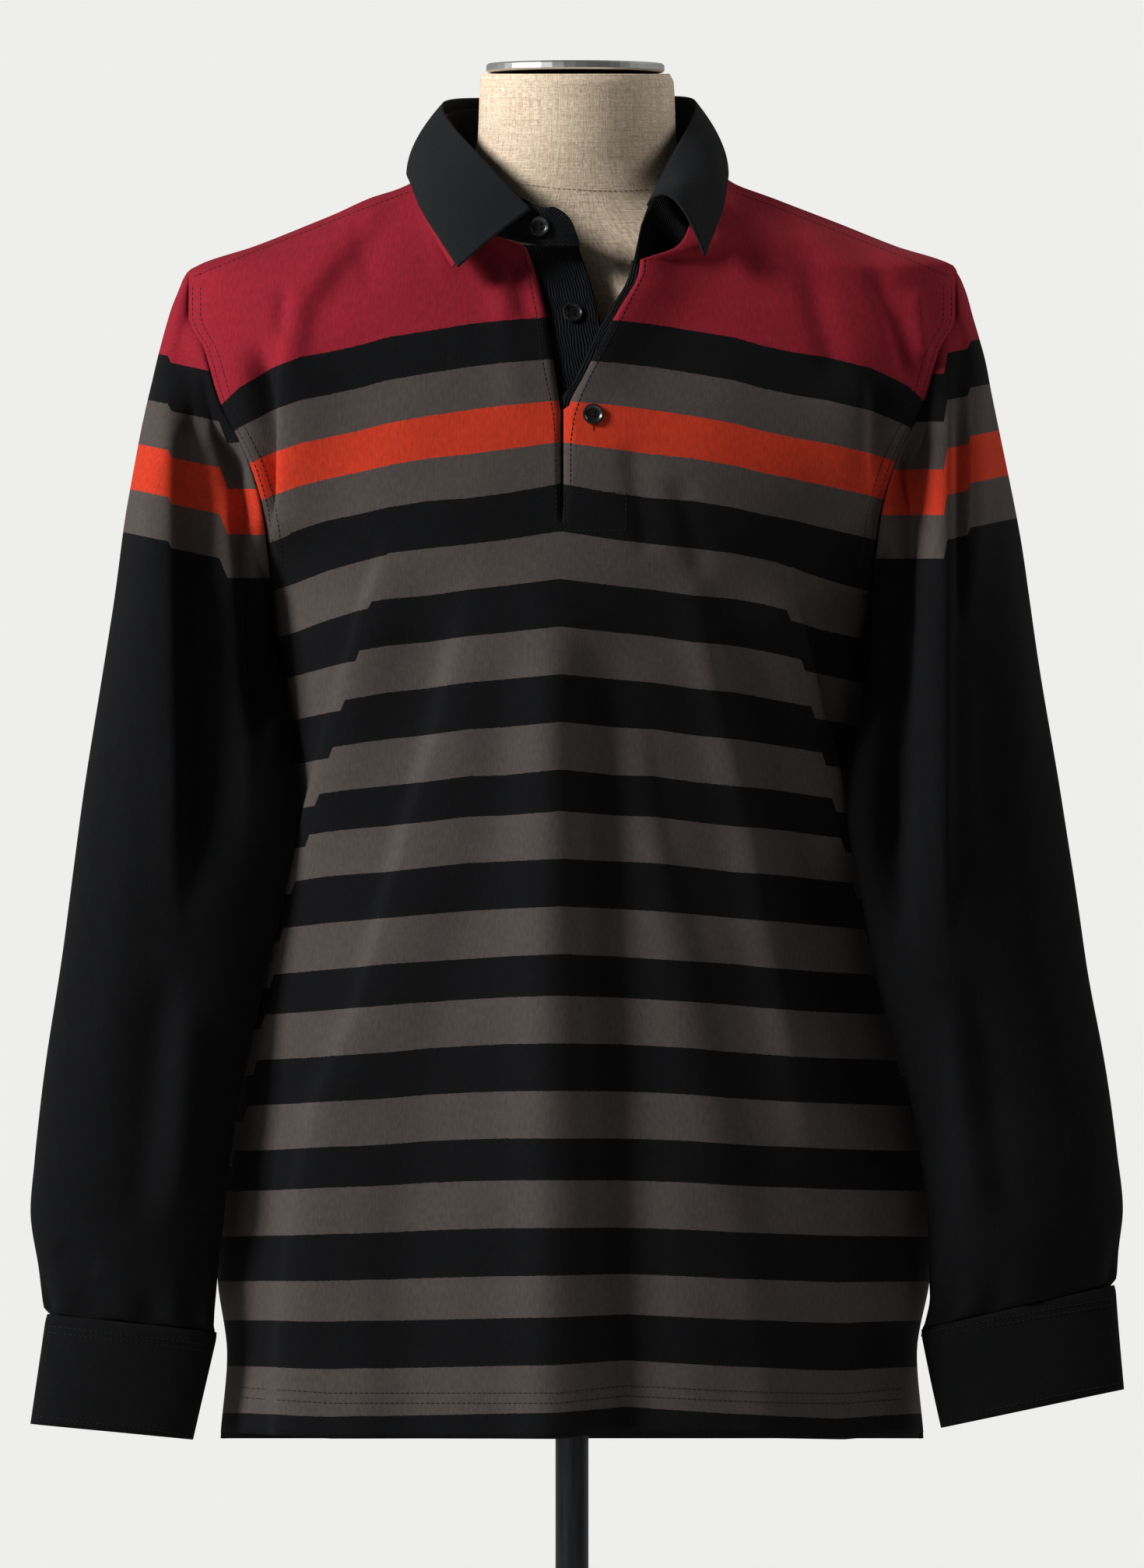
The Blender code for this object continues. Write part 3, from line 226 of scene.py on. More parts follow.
STAND = [
    Collar((0.0045, -0.0880, 1.4895), (0.0050, -0.0880, 1.4870)),
    Collar((-0.0010, -0.0880, 1.5030), (0.0000, -0.0880, 1.4868)),
    Collar((-0.0100, -0.0870, 1.5100), (-0.0090, -0.0875, 1.4868)),
    Collar((-0.0200, -0.0845, 1.5110), (-0.0200, -0.0860, 1.4872)),
    Collar((-0.0420, -0.0680, 1.5230), (-0.0480, -0.0730, 1.4940)),
    Collar((-0.0570, -0.0480, 1.5400), (-0.0650, -0.0490, 1.5085)),
    Collar((-0.0670, -0.0220, 1.5520), (-0.0730, -0.0200, 1.5300)),
    Collar((-0.0740, 0.0080, 1.5640), (-0.0770, 0.0080, 1.5390)),
    Collar((-0.0690, 0.0370, 1.5690), (-0.0700, 0.0360, 1.5440)),
    Collar((-0.0410, 0.0600, 1.5700), (-0.0420, 0.0580, 1.5450)),
    Collar((0.0020, 0.0700, 1.5710), (0.0020, 0.0670, 1.5460)),
    Collar((0.0440, 0.0600, 1.5710), (0.0440, 0.0580, 1.5450)),
    Collar((0.0690, 0.0370, 1.5700), (0.0700, 0.0360, 1.5440)),
    Collar((0.0725, 0.0080, 1.5640), (0.0765, 0.0080, 1.5390)),
    Collar((0.0675, -0.0220, 1.5540), (0.0735, -0.0200, 1.5300)),
    Collar((0.0585, -0.0460, 1.5390), (0.0690, -0.0480, 1.5140)),
    Collar((0.0520, -0.0670, 1.5260), (0.0735, -0.0800, 1.4890)),
    Collar((0.0462, -0.0795, 1.5110), (0.0670, -0.0810, 1.4795)),
    Collar((0.0420, -0.0920, 1.4990), (0.0370, -0.1000, 1.4760)),
]

FORM = [
    Torso(0.830, 0.1650, 0.000, 0.098, 0.094, 2.2),
    Torso(0.900, 0.1660, 0.000, 0.100, 0.096, 2.2),
    Torso(1.000, 0.1560, 0.000, 0.096, 0.090, 2.2),
    Torso(1.100, 0.1480, 0.000, 0.096, 0.088, 2.2),
    Torso(1.200, 0.1540, 0.000, 0.105, 0.098, 2.2),
    Torso(1.300, 0.1700, 0.000, 0.115, 0.106, 2.2),
    Torso(1.350, 0.1820, 0.000, 0.114, 0.107, 2.3),
    Torso(1.400, 0.1950, 0.000, 0.103, 0.101, 2.4),
    Torso(1.440, 0.2020, 0.000, 0.087, 0.090, 2.4),
    Torso(1.462, 0.1980, 0.000, 0.074, 0.080, 2.3),
    Torso(1.478, 0.1780, 0.001, 0.067, 0.072, 2.2),
    Torso(1.492, 0.1400, 0.001, 0.060, 0.067, 2.2),
    Torso(1.506, 0.1020, 0.002, 0.057, 0.063, 2.1),
    Torso(1.518, 0.0780, 0.002, 0.056, 0.061, 2.05),
    Torso(1.532, 0.0665, 0.003, 0.056, 0.060, 2.0),
    Torso(1.552, 0.0600, 0.003, 0.057, 0.060, 2.0),
    Torso(1.585, 0.0585, 0.003, 0.057, 0.059, 2.0),
    Torso(1.5908, 0.0570, 0.002, 0.0555, 0.0575, 2.0),
]

# Stripes: the height at the middle of the front where each colour begins, going down.
STRIPE_TOPS = (
    (1.620, "crimson"), (1.4419, "black"), (1.4175, "grey"), (1.3926, "orange"),
    (1.3681, "grey"), (1.3413, "black"), (1.3134, "grey"), (1.2836, "black"),
    (1.2549, "grey"), (1.2262, "black"), (1.1985, "grey"), (1.1703, "black"),
    (1.1430, "grey"), (1.1139, "black"), (1.0871, "grey"), (1.0584, "black"),
    (1.0311, "grey"), (1.0029, "black"), (0.9759, "grey"), (0.9475, "black"),
    (0.9202, "grey"), (0.8920, "black"), (0.8652, "grey"), (0.8370, "black"),
    (0.8098, "grey"), (0.7816, "black"),
)
# How far a stripe of this middle height hangs lower at each distance from the middle.
DROOP_AT = (0.0, 0.033, 0.056, 0.080, 0.105, 0.122, 0.141, 0.160, 0.180, 0.200, 0.216)
DROOP = (
    (1.4419, (0.0, 2.0, 4.5, 8.5, 12.5, 17.5, 21.5, 24.5, 31.0, 42.0, 57.0)),
    (1.3926, (0.0, 3.0, 6.0, 9.5, 14.0, 18.5, 22.5, 26.0, 32.0, 40.0, 48.0)),
    (1.3413, (0.0, 6.0, 9.0, 10.5, 14.5, 18.5, 22.0, 27.0, 33.0, 40.0, 46.0)),
    (1.2836, (0.0, 4.0, 6.5, 10.0, 12.0, 15.0, 20.0, 26.0, 31.0, 36.0, 40.0)),
    (1.2262, (0.0, 3.0, 5.0, 8.5, 11.0, 14.0, 17.5, 21.0, 26.0, 30.0, 33.0)),
    (1.1703, (0.0, 3.5, 4.0, 7.5, 10.0, 11.5, 14.0, 17.0, 20.0, 23.0, 25.0)),
    (1.1139, (0.0, 1.5, 2.5, 5.0, 8.0, 9.0, 10.5, 13.0, 15.5, 17.0, 18.0)),
    (1.0584, (0.0, 1.5, 3.0, 4.5, 6.0, 8.0, 9.5, 11.0, 12.5, 14.0, 15.0)),
    (1.0029, (0.0, 0.5, 1.5, 3.0, 5.5, 6.5, 8.0, 9.0, 9.5, 11.0, 12.0)),
    (0.9475, (0.0, 0.0, 0.5, 1.5, 3.5, 4.5, 5.0, 6.0, 7.0, 7.5, 8.0)),
    (0.8370, (0.0, 0.5, 1.0, 1.5, 2.0, 2.0, 2.5, 3.0, 3.0, 3.5, 4.0)),
)
STRIPE_STEP = 8.5
# One over the width in metres over which the stripes step down.
STEP_SHARPNESS = 1400.0
# The sleeves' own stripes: the heights at the outer edge where each colour begins.
SLEEVE_STRIPES_RIGHT = (1.4194, 1.3921, 1.3658, 1.3392, 1.3117)
SLEEVE_STRIPES_LEFT = (1.4283, 1.4020, 1.3742, 1.3477, 1.3202)
# They fall towards the body with this slope. Past two creases, at these distances from the
# middle, they also hang lower by these steps.
SLEEVE_SLOPE = 0.20
SLEEVE_BLACK_BELOW = 1.325
SLEEVE_CREASES_RIGHT = ((0.2430, 0.0036), (0.2105, 0.0110))
SLEEVE_CREASES_LEFT = ((0.2397, 0.0040), (0.2256, 0.0110))

# Folds: a path of (x, z) in millimetres going down, the crest's width towards -x and +x, and
# its height; troughs are negative. All in metres but the path.
Fold = namedtuple("Fold", "path left right depth")
FRONT_FOLDS = [
    Fold([(-108, 1325), (-112, 1298), (-123, 1267), (-130, 1237), (-139, 1207), (-146, 1179),
          (-155, 1148), (-160, 1126), (-168, 1100), (-175, 1072), (-181, 1043), (-187, 1015),
          (-193, 978), (-203, 940)], 0.0052, 0.0215, 0.0095),
    Fold([(-12, 1325), (-12, 1240), (-12, 1128), (-13, 1020), (-14, 907), (-14, 762)],
         0.0215, 0.0260, 0.0110),
    Fold([(10, 1278), (15, 1184), (18, 1128), (22, 1020), (27, 907), (33, 762)],
         0.013, 0.030, -0.0105),
    Fold([(-52, 1306), (-65, 1255), (-82, 1184), (-99, 1128), (-113, 1076), (-128, 1020),
          (-153, 963), (-163, 907), (-171, 837), (-174, 762)], 0.0080, 0.0250, 0.0090),
    Fold([(-40, 1278), (-50, 1236), (-61, 1184), (-71, 1128), (-88, 1076), (-101, 1020),
          (-114, 963), (-124, 907), (-126, 837), (-126, 762)], 0.0200, 0.0175, 0.0030),
    Fold([(-75, 1330), (-90, 1200), (-100, 1000), (-110, 740)], 0.036, 0.046, -0.0078),
    Fold([(-150, 1200), (-165, 1050), (-180, 900), (-185, 740)], 0.019, 0.034, -0.0030),
    Fold([(62, 1311), (73, 1278), (81, 1241), (95, 1184), (108, 1128), (117, 1076),
          (128, 1020), (140, 963), (150, 907)], 0.0130, 0.0080, 0.0064),
    Fold([(46, 1241), (52, 1184), (62, 1128), (78, 1076), (91, 1020), (105, 963), (117, 907),
          (129, 837)], 0.0085, 0.030, -0.0026),
    Fold([(30, 1260), (38, 1184), (47, 1128), (55, 1076), (67, 1020), (81, 963), (95, 907),
          (110, 837), (120, 762)], 0.014, 0.014, 0.0018),
    Fold([(99, 1260), (118, 1184), (143, 1128), (154, 1076)], 0.010, 0.015, -0.0034),
    Fold([(124, 1306), (130, 1266), (139, 1236), (145, 1207), (152, 1177), (158, 1150),
          (164, 1123), (171, 1095)], 0.0243, 0.0042, 0.0095),
    Fold([(-44, 1480), (-38, 1420), (-34, 1380)], 0.009, 0.012, 0.0020),
    Fold([(-100, 1522), (-118, 1508), (-134, 1489), (-145, 1478), (-155, 1464), (-163, 1455),
          (-167, 1440), (-168, 1418), (-168, 1396)], 0.013, 0.0075, 0.0030),
    Fold([(-112, 1500), (-127, 1481), (-138, 1469), (-147, 1455), (-153, 1443), (-156, 1425),
          (-157, 1400)], 0.0075, 0.014, -0.0017),
    Fold([(-124, 1508), (-130, 1492), (-126, 1475), (-120, 1458)], 0.004, 0.007, -0.0010),
    Fold([(-173, 1462), (-175, 1445), (-175, 1430)], 0.005, 0.005, -0.0028),
    Fold([(-86, 1524), (-84, 1500), (-79, 1480), (-72, 1462)], 0.006, 0.008, 0.0014),
    Fold([(-170, 1440), (-172, 1400), (-173, 1360), (-175, 1325), (-178, 1290)],
         0.0045, 0.022, 0.0095),
    Fold([(-190, 1432), (-186, 1400), (-183, 1370), (-181, 1345), (-181, 1310)],
         0.0090, 0.0050, -0.0125),
    Fold([(128, 1490), (142, 1475), (149, 1447), (155, 1427), (160, 1400)], 0.008, 0.010, -0.0036),
    Fold([(178, 1475), (187, 1458), (195, 1440), (201, 1419), (204, 1399)], 0.006, 0.008, -0.0040),
    Fold([(206, 1462), (208, 1445), (211, 1428), (213, 1412)], 0.005, 0.005, 0.0030),
    Fold([(88, 1528), (97, 1522), (115, 1512), (134, 1500), (150, 1492)], 0.008, 0.008, -0.0022),
    Fold([(140, 1508), (154, 1501), (175, 1485), (197, 1469)], 0.008, 0.008, -0.0022),
    Fold([(171, 1415), (172, 1390), (174, 1350), (176, 1310)], 0.020, 0.0060, 0.0064),
    Fold([(186, 1405), (184, 1380), (183, 1345)], 0.0060, 0.009, -0.0050),
    Fold([(34, 1372), (38, 1345), (43, 1318), (46, 1296)], 0.006, 0.010, -0.0024),
    Fold([(60, 1352), (68, 1330), (74, 1304), (78, 1280)], 0.007, 0.010, -0.0022),
    Fold([(-38, 1478), (-33, 1463), (-28, 1449), (-24, 1440)], 0.0045, 0.0045, -0.0022),
    Fold([(-46, 1470), (-42, 1452), (-38, 1438)], 0.006, 0.006, 0.0014),
]
STEP_RIGHT, STEP_LEFT = FRONT_FOLDS[0], FRONT_FOLDS[11]
BACK_FOLDS = [
    Fold([(-150, 1400), (-140, 1330), (-150, 1200), (-168, 1060), (-182, 950)],
         0.014, 0.030, 0.0072),
    Fold([(150, 1400), (142, 1320), (152, 1190), (170, 1050), (184, 940)], 0.030, 0.014, 0.0072),
    Fold([(-20, 1300), (-24, 1150), (-30, 950), (-32, 760)], 0.028, 0.018, 0.0066),
    Fold([(34, 1280), (38, 1130), (44, 960), (46, 760)], 0.018, 0.026, -0.0054),
    Fold([(-70, 1230), (-76, 1080), (-84, 900), (-88, 760)], 0.018, 0.022, -0.0048),
    Fold([(92, 1240), (100, 1080), (108, 900), (112, 760)], 0.020, 0.020, 0.0048),
    Fold([(-60, 1460), (-100, 1430), (-140, 1400)], 0.016, 0.016, -0.0034),
    Fold([(60, 1455), (104, 1428), (146, 1396)], 0.016, 0.016, -0.0034),
]

SLEEVE_FOLDS_RIGHT = [
    Fold([(-243, 1448), (-243, 1400), (-243, 1300), (-241, 1180), (-240, 1050)],
         0.016, 0.0050, 0.0052),
    Fold([(-231, 1436), (-230, 1380), (-229, 1280), (-227, 1160), (-226, 1080)],
         0.0060, 0.0280, -0.0105),
    Fold([(-219, 1428), (-214, 1372), (-206, 1310), (-198, 1250), (-196, 1180), (-198, 1110)],
         0.0060, 0.0060, 0.0020),
    Fold([(-212, 1425), (-203, 1370), (-196, 1330), (-190, 1290), (-187, 1240), (-185, 1180)],
         0.0090, 0.0090, -0.0130),
    Fold([(-262, 1420), (-264, 1300), (-272, 1100), (-292, 900)], 0.014, 0.014, 0.0018),
    Fold([(-270, 1330), (-278, 1150), (-290, 1010)], 0.008, 0.012, -0.0014),
    Fold([(-243, 1060), (-254, 960), (-264, 880)], 0.014, 0.012, -0.0040),
    Fold([(-232, 1040), (-236, 960), (-240, 890)], 0.010, 0.012, 0.0034),
    Fold([(-312, 884), (-300, 874), (-284, 868)], 0.009, 0.008, -0.0022),
]
SLEEVE_FOLDS_LEFT = [
    Fold([(240, 1448), (240, 1400), (240, 1330), (241, 1250)], 0.0045, 0.010, 0.0040),
    Fold([(225, 1436), (226, 1380), (226, 1300), (225, 1180), (226, 1050)],
         0.0120, 0.0045, 0.0066),
    Fold([(233, 1420), (234, 1340), (234, 1240)], 0.0040, 0.0050, -0.0030),
    Fold([(212, 1432), (206, 1385), (201, 1340), (197, 1290), (195, 1220), (194, 1120),
          (200, 1050)], 0.012, 0.0100, -0.0175),
    Fold([(246, 1330), (250, 1200), (256, 1080)], 0.008, 0.014, -0.0024),
    Fold([(262, 1420), (266, 1280), (276, 1080), (296, 900)], 0.014, 0.014, 0.0020),
    Fold([(240, 1060), (254, 960), (266, 880)], 0.012, 0.014, -0.0036),
    Fold([(230, 1040), (238, 960), (246, 890)], 0.010, 0.012, 0.0034),
]
SLEEVE_FOLDS_BACK = [
    Fold([(232, 1400), (236, 1280), (240, 1150), (246, 1030)], 0.016, 0.014, 0.0040),
    Fold([(206, 1350), (204, 1250), (206, 1120), (214, 1010)], 0.012, 0.012, -0.0045),
    Fold([(262, 1240), (268, 1150), (276, 1060)], 0.012, 0.012, -0.0030),
    Fold([(250, 1030), (262, 960), (276, 890)], 0.014, 0.014, 0.0030),
]


# ------------------------------------------------------------------ sections
def column(rows, name):
    """A smooth function of height through one column of a table, without overshoot."""
    ordered = sorted(rows, key=lambda row: row.z)
    heights = np.array([row.z for row in ordered])
    values = np.array([getattr(row, name) for row in ordered])
    step = np.diff(heights)
    rise = np.diff(values) / step
    slope = np.zeros(len(values))
    slope[0] = rise[0]
    slope[-1] = rise[-1]
    product = rise[:-1] * rise[1:]
    total = np.where(product > 0, rise[:-1] + rise[1:], 1.0)
    slope[1:-1] = np.where(product > 0, 2 * product / total, 0.0)

    def at(z):
        z = np.asarray(z, float)
        i = np.clip(np.searchsorted(heights, z) - 1, 0, len(step) - 1)
        t = np.clip((z - heights[i]) / step[i], 0, 1)
        rising = (3 - 2 * t) * t * t
        value = values[i] * (1 - rising) + values[i + 1] * rising
        return value + step[i] * (slope[i] * t * (1 - t) ** 2 - slope[i + 1] * t * t * (1 - t))

    return at


def columns(rows):
    return {name: column(rows, name) for name in rows[0]._fields if name != "z"}


torso = columns(TORSO)
armhole = columns(ARMHOLE)
neckline = columns(NECKLINE)
opening = columns(OPENING)


def ease(t):
    t = np.clip(t, 0.0, 1.0)
    return t * t * (3 - 2 * t)


def signed_power(value, exponent):
    return np.sign(value) * np.abs(value) ** exponent


def section_point(table, z, turn):
    """Points of body sections: turn 0 is +X, a quarter turn the front, a half turn -X."""
    z, turn = np.broadcast_arrays(np.asarray(z, float), np.asarray(turn, float))
    exponent = 2 / table["power"](z)
    depth = np.where(np.sin(turn) > 0, table["front"](z), table["back"](z))
    x = table["mid"](z) + table["half"](z) * signed_power(np.cos(turn), exponent)
    y = -depth * signed_power(np.sin(turn), exponent)
    return np.stack([x, y, z], axis=-1)


def turn_at(z, x):
    share = np.clip((x - torso["mid"](z)) / torso["half"](z), -1.0, 1.0)
    return np.arccos(np.clip(signed_power(share, torso["power"](z) / 2), -1.0, 1.0))


def side_turn(z, name):
    z = np.asarray(z, float)
    share = (armhole[name](z) - np.abs(torso["mid"](z))) / torso["half"](z)
    end = np.arccos(np.minimum(share, 1.0) ** (torso["power"](z) / 2))
    return np.where((z > UNDERARM_Z) & (z < SHOULDER_TIP_Z), end, 0.0)


def settle(points):
    """Moves points from the plane through the pole along the camera's lines of sight."""
    points = np.array(points, float)
    scale = (CAMERA_DISTANCE + points[..., 1]) / CAMERA_DISTANCE
    points[..., 0] *= scale
    points[..., 2] = CAMERA_Z + (points[..., 2] - CAMERA_Z) * scale
    return points


# ------------------------------------------------------------------ folds and stripes
def path_distance(path, x, z):
    """Distance from a path in millimetres, positive on its +x side, and the share along it."""
    path = np.array(path, float) / 1000
    lengths = np.hypot(*np.diff(path, axis=0).T)
    ends = np.concatenate([[0.0], np.cumsum(lengths)]) / lengths.sum()
    nearest = np.full(x.shape, 1e9)
    side = np.ones(x.shape)
    share = np.zeros(x.shape)
    for i, (start, end) in enumerate(zip(path, path[1:])):
        run = end - start
        t = ((x - start[0]) * run[0] + (z - start[1]) * run[1]) / run.dot(run)
        t = np.clip(t, 0.0, 1.0)
        away_x = x - (start[0] + run[0] * t)
        away_z = z - (start[1] + run[1] * t)
        distance = np.hypot(away_x, away_z)
        closer = distance < nearest
        nearest = np.where(closer, distance, nearest)
        side = np.where(closer, np.sign(run[0] * away_z - run[1] * away_x + 1e-12), side)
        share = np.where(closer, ends[i] + (ends[i + 1] - ends[i]) * t, share)
    return nearest * side, share


def fold_height(folds, x, z):
    total = np.zeros(x.shape)
    for fold in folds:
        distance, share = path_distance(fold.path, x, z)
        width = np.where(distance < 0, fold.left, fold.right)
        to_hem = fold.path[-1][1] / 1000 <= HEM_Z
        fade = ease(share / 0.22) * (1.0 if to_hem else ease((1 - share) / 0.25))
        total += fold.depth * fade * np.exp(-((distance / width) ** 2))
    return total


def ripple(x, z, seed):
    """Slight unevenness, so that no stretch of cloth is perfectly smooth."""
    waves = (
        np.sin(61 * x + 23 * z + seed) * np.sin(9 * z - 17 * x + 2 * seed)
        + 0.6 * np.sin(103 * x - 37 * z + 3 * seed) * np.sin(21 * z + seed)
    )
    return 0.00045 * waves


def droop(x, middle_z):
    heights = np.array([row[0] for row in DROOP])[::-1]
    leaning = 0.010 * ease((x - 0.14) / 0.06) - 0.007 * ease((-x - 0.14) / 0.06)
    across = np.abs(x + 0.007) - leaning
    levels = np.stack([np.interp(across, DROOP_AT, row[1]) for row in DROOP[::-1]])
    place = np.interp(middle_z, heights, np.arange(len(heights)))
    low = np.clip(place.astype(int), 0, len(heights) - 2)
    share = place - low
    grid = np.indices(x.shape)
    below = levels[(low, *grid)]
    above = levels[(low + 1, *grid)]
    return (below * (1 - share) + above * share) / 1000


def stripe_height(x, z):
    """The height at the middle of the front of the stripe that passes a place."""
    height = z.copy()
    for _ in range(8):
        height = z + droop(x, height)
    return height


def stripe_step(fold, x, z):
    """Where the cloth steps over itself at a fold: the signed distance from its crest, and how
    far the stripes beyond it hang lower."""
    distance, share = path_distance(fold.path, x, z)
    size = ease(share / 0.22) * (0.55 + 0.6 * share) * STRIPE_STEP / 1000
    return distance, size


def surface_normals(grid, wrapped=False):
    """Unit normals of a grid of points, pointing away from the body's axis or the tube's own."""
    if wrapped:
        across = np.roll(grid, -1, axis=1) - np.roll(grid, 1, axis=1)
        middle = grid.mean(axis=1, keepdims=True)
    else:
        across = np.gradient(grid, axis=1)
        middle = np.array([0.0, 0.0, 0.0])
    normals = np.cross(across, np.gradient(grid, axis=0))
    normals /= np.maximum(np.linalg.norm(normals, axis=-1, keepdims=True), 1e-12)
    outward = grid - middle
    outward = outward * np.array([1.0, 1.0 if wrapped else 3.0, 0.0])
    flip = np.sign(np.mean(np.sum(normals * outward, axis=-1)))
    return normals * flip


def arc(grid, axis):
    """Distances along the rows or columns of a grid from its first point."""
    steps = np.linalg.norm(np.diff(grid, axis=axis), axis=-1)
    return np.insert(np.cumsum(steps, axis=axis), 0, 0.0, axis=axis)


def heights(*stretches):
    found = [np.linspace(a, b, count, endpoint=False) for a, b, count in stretches]
    return np.concatenate(found + [[stretches[-1][1]]])


# ------------------------------------------------------------------ meshes
def mesh_of_grid(name, grid, wrapped=False, values=None, uv=None):
    """A quad mesh through a grid of points, with float attributes and a UV map in metres."""
    rows, count = grid.shape[:2]
    index = np.arange(rows * count).reshape(rows, count)
    right = np.roll(index, -1, axis=1) if wrapped else index
    if wrapped:
        quads = np.stack([index[:-1], index[1:], right[1:], right[:-1]], axis=-1).reshape(-1, 4)
    else:
        quads = np.stack(
            [index[:-1, :-1], index[1:, :-1], index[1:, 1:], index[:-1, 1:]], axis=-1
        ).reshape(-1, 4)
    mesh = bpy.data.meshes.new(name)
    mesh.from_pydata(grid.reshape(-1, 3).tolist(), [], quads.tolist())
    for key, value in (values or {}).items():
        attribute = mesh.attributes.new(key, "FLOAT", "POINT")
        attribute.data.foreach_set("value", np.asarray(value, np.float32).ravel())
    if uv is not None:
        layer = mesh.uv_layers.new(name="cloth")
        corners = np.empty(len(mesh.loops), np.int32)
        mesh.loops.foreach_get("vertex_index", corners)
        layer.data.foreach_set("uv", uv.reshape(-1, 2)[corners].astype(np.float32).ravel())
    mesh.shade_smooth()
    return linked(name, mesh)


def linked(name, data):
    obj = bpy.data.objects.new(name, data)
    bpy.context.scene.collection.objects.link(obj)
    return obj


def join(name, objects):
    """One piece out of several, with the points that they share welded."""
    bpy.ops.object.select_all(action="DESELECT")
    for obj in objects:
        obj.select_set(True)
    bpy.context.view_layer.objects.active = objects[0]
    bpy.ops.object.join()
    joined = bpy.context.object
    joined.name = name
    joined.data.name = name
    weld(joined)
    return joined


def weld(obj, distance=1e-5):
    bm = bmesh.new()
    bm.from_mesh(obj.data)
    bmesh.ops.remove_doubles(bm, verts=bm.verts, dist=distance)
    bmesh.ops.dissolve_degenerate(bm, edges=bm.edges, dist=1e-6)
    bm.to_mesh(obj.data)
    bm.free()
    obj.data.shade_smooth()


def shell(obj, thick=CLOTH):
    solidify = obj.modifiers.new("thickness", "SOLIDIFY")
    solidify.thickness = thick
    solidify.offset = 0
    return obj


def finish_piece(obj, material, slot, *nodes):
    obj.data.materials.clear()
    obj.data.materials.append(material)
    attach(obj, "root")
    if nodes:
        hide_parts(*nodes)
    return obj


def cloth_piece(
    name, grid, material, slot, node, thick=CLOTH, values=None, uv=None, wrapped=False
):
    """A piece of cloth through a grid of points, in place of its CAD node."""
    if uv is None:
        uv = np.stack([arc(grid, 1), -arc(grid, 0)], axis=-1)
    piece = mesh_of_grid(name, settle(grid), wrapped, values, uv)
    shell(piece, thick)
    return finish_piece(piece, material, slot, node)


# ------------------------------------------------------------------ body panels
def opening_x(z, side):
    if side < 0:
        edge = np.where(z > NECK_FRONT_RIGHT_Z, -neckline["right"](z), opening["right_edge"](z))
    else:
        edge = np.where(z > NECK_FRONT_LEFT_Z, neckline["left"](z), opening["left_edge"](z))
    parted = 0.0009 * ease((z - SLIT_END_Z) / 0.012)
    return np.where(z <= SLIT_TOP_Z, SLIT_X + side * parted, edge)


def left_roll(x, z):
    """How far the left front rolls forward beside the opening."""
    near = np.exp(-(((x - opening_x(z, 1)) / 0.030) ** 2))
    fade = 1.0 - ease((z - 1.486) / 0.030)
    roll = opening["roll"](np.minimum(z, ROLL_TOP_Z)) * near * fade
    return np.where(x >= SLIT_X, roll, 0.0)


def hem_lift(x, z):
    """The hem's slight waves, up and down, fading out above it."""
    at = (-0.203, -0.146, -0.009, 0.002, 0.033, 0.077, 0.125, 0.164, 0.212)
    lift = (3.3, -0.2, -0.2, 0.9, 4.2, 2.0, 0.0, -0.7, 3.3)
    return np.interp(x, at, lift) / 1000 * (1 - ease((z - HEM_Z) / 0.16))


def side_fin(to_edge, z):
    """The side seams are pinched outward under the arms."""
    under_arm = ease((1.272 - z) / 0.03) * ease((z - 1.06) / 0.08)
    below = ease((1.10 - z) / 0.08) * ease((z - 0.84) / 0.08)
    return (0.0075 * under_arm + 0.0040 * below) * np.exp(-((to_edge / 0.022) ** 2))


def edge_roll(distance):
    """How far a seamed edge sinks in, beside its seam."""
    return 0.0007 * np.exp(-((distance / 0.0024) ** 2))


def front_surface(z, turn):
    """Front points for matching arrays of z and turn, and the directions that folds rise in."""
    grid = section_point(torso, z, turn)
    grid[..., 1] -= left_roll(grid[..., 0], grid[..., 2])
    return grid, section_normals(torso, z, turn)


def seam_gap(rows, to_edge):
    """How far the front and the back stand off the side and shoulder seams and the vents."""
    at_seam = (rows <= UNDERARM_Z) | (rows >= SHOULDER_TIP_Z)
    gap = np.where(at_seam, SEAM_GAP / 2, 0.0)
    gap = gap + np.maximum(0.0, VENT_TOP_Z - rows) * VENT_SPREAD
    return gap[:, None] * ease(1 - to_edge / 0.03)


def section_normals(table, z, turn):
    """Outward unit normals of body sections."""
    step = 0.002
    across = section_point(table, z, turn + step) - section_point(table, z, turn - step)
    down = section_point(table, z + step, turn) - section_point(table, z - step, turn)
    normals = np.cross(across, down)
    normals /= np.maximum(np.linalg.norm(normals, axis=-1, keepdims=True), 1e-12)
    grid = section_point(table, z, turn)
    outward = np.sum(normals * grid * np.array([1.0, 3.0, 0.0]), axis=-1, keepdims=True)
    return normals * np.where(outward < 0, -1.0, 1.0)


def displaced(grid, height, wrapped=False, normals=None):
    if normals is None:
        normals = surface_normals(grid, wrapped)
    return grid + normals * height[..., None]


def tucked(grid, axis, last, reach, sink, wrapped=False):
    """The grid with one more line past an edge, sunk behind it as a seam allowance is."""
    grid = np.moveaxis(grid, axis, 0)
    if last:
        grid = grid[::-1]
    run = grid[0] - grid[1]
    run /= np.linalg.norm(run, axis=-1, keepdims=True) + 1e-12
    normals = surface_normals(np.moveaxis(grid[::-1] if last else grid, 0, axis), wrapped)
    normals = np.moveaxis(normals, axis, 0)
    normal = normals[-1] if last else normals[0]
    reach = np.broadcast_to(reach, grid.shape[1:2])[:, None]
    line = grid[0] + run * reach - normal * sink
    grid = np.concatenate([line[None], grid])
    if last:
        grid = grid[::-1]
    return np.moveaxis(grid, 0, axis)


def doubled(values, axis, last):
    """The same values with their edge line repeated, to go with `tucked`."""
    end = np.take(values, [-1 if last else 0], axis)
    return np.concatenate([values, end] if last else [end, values], axis)


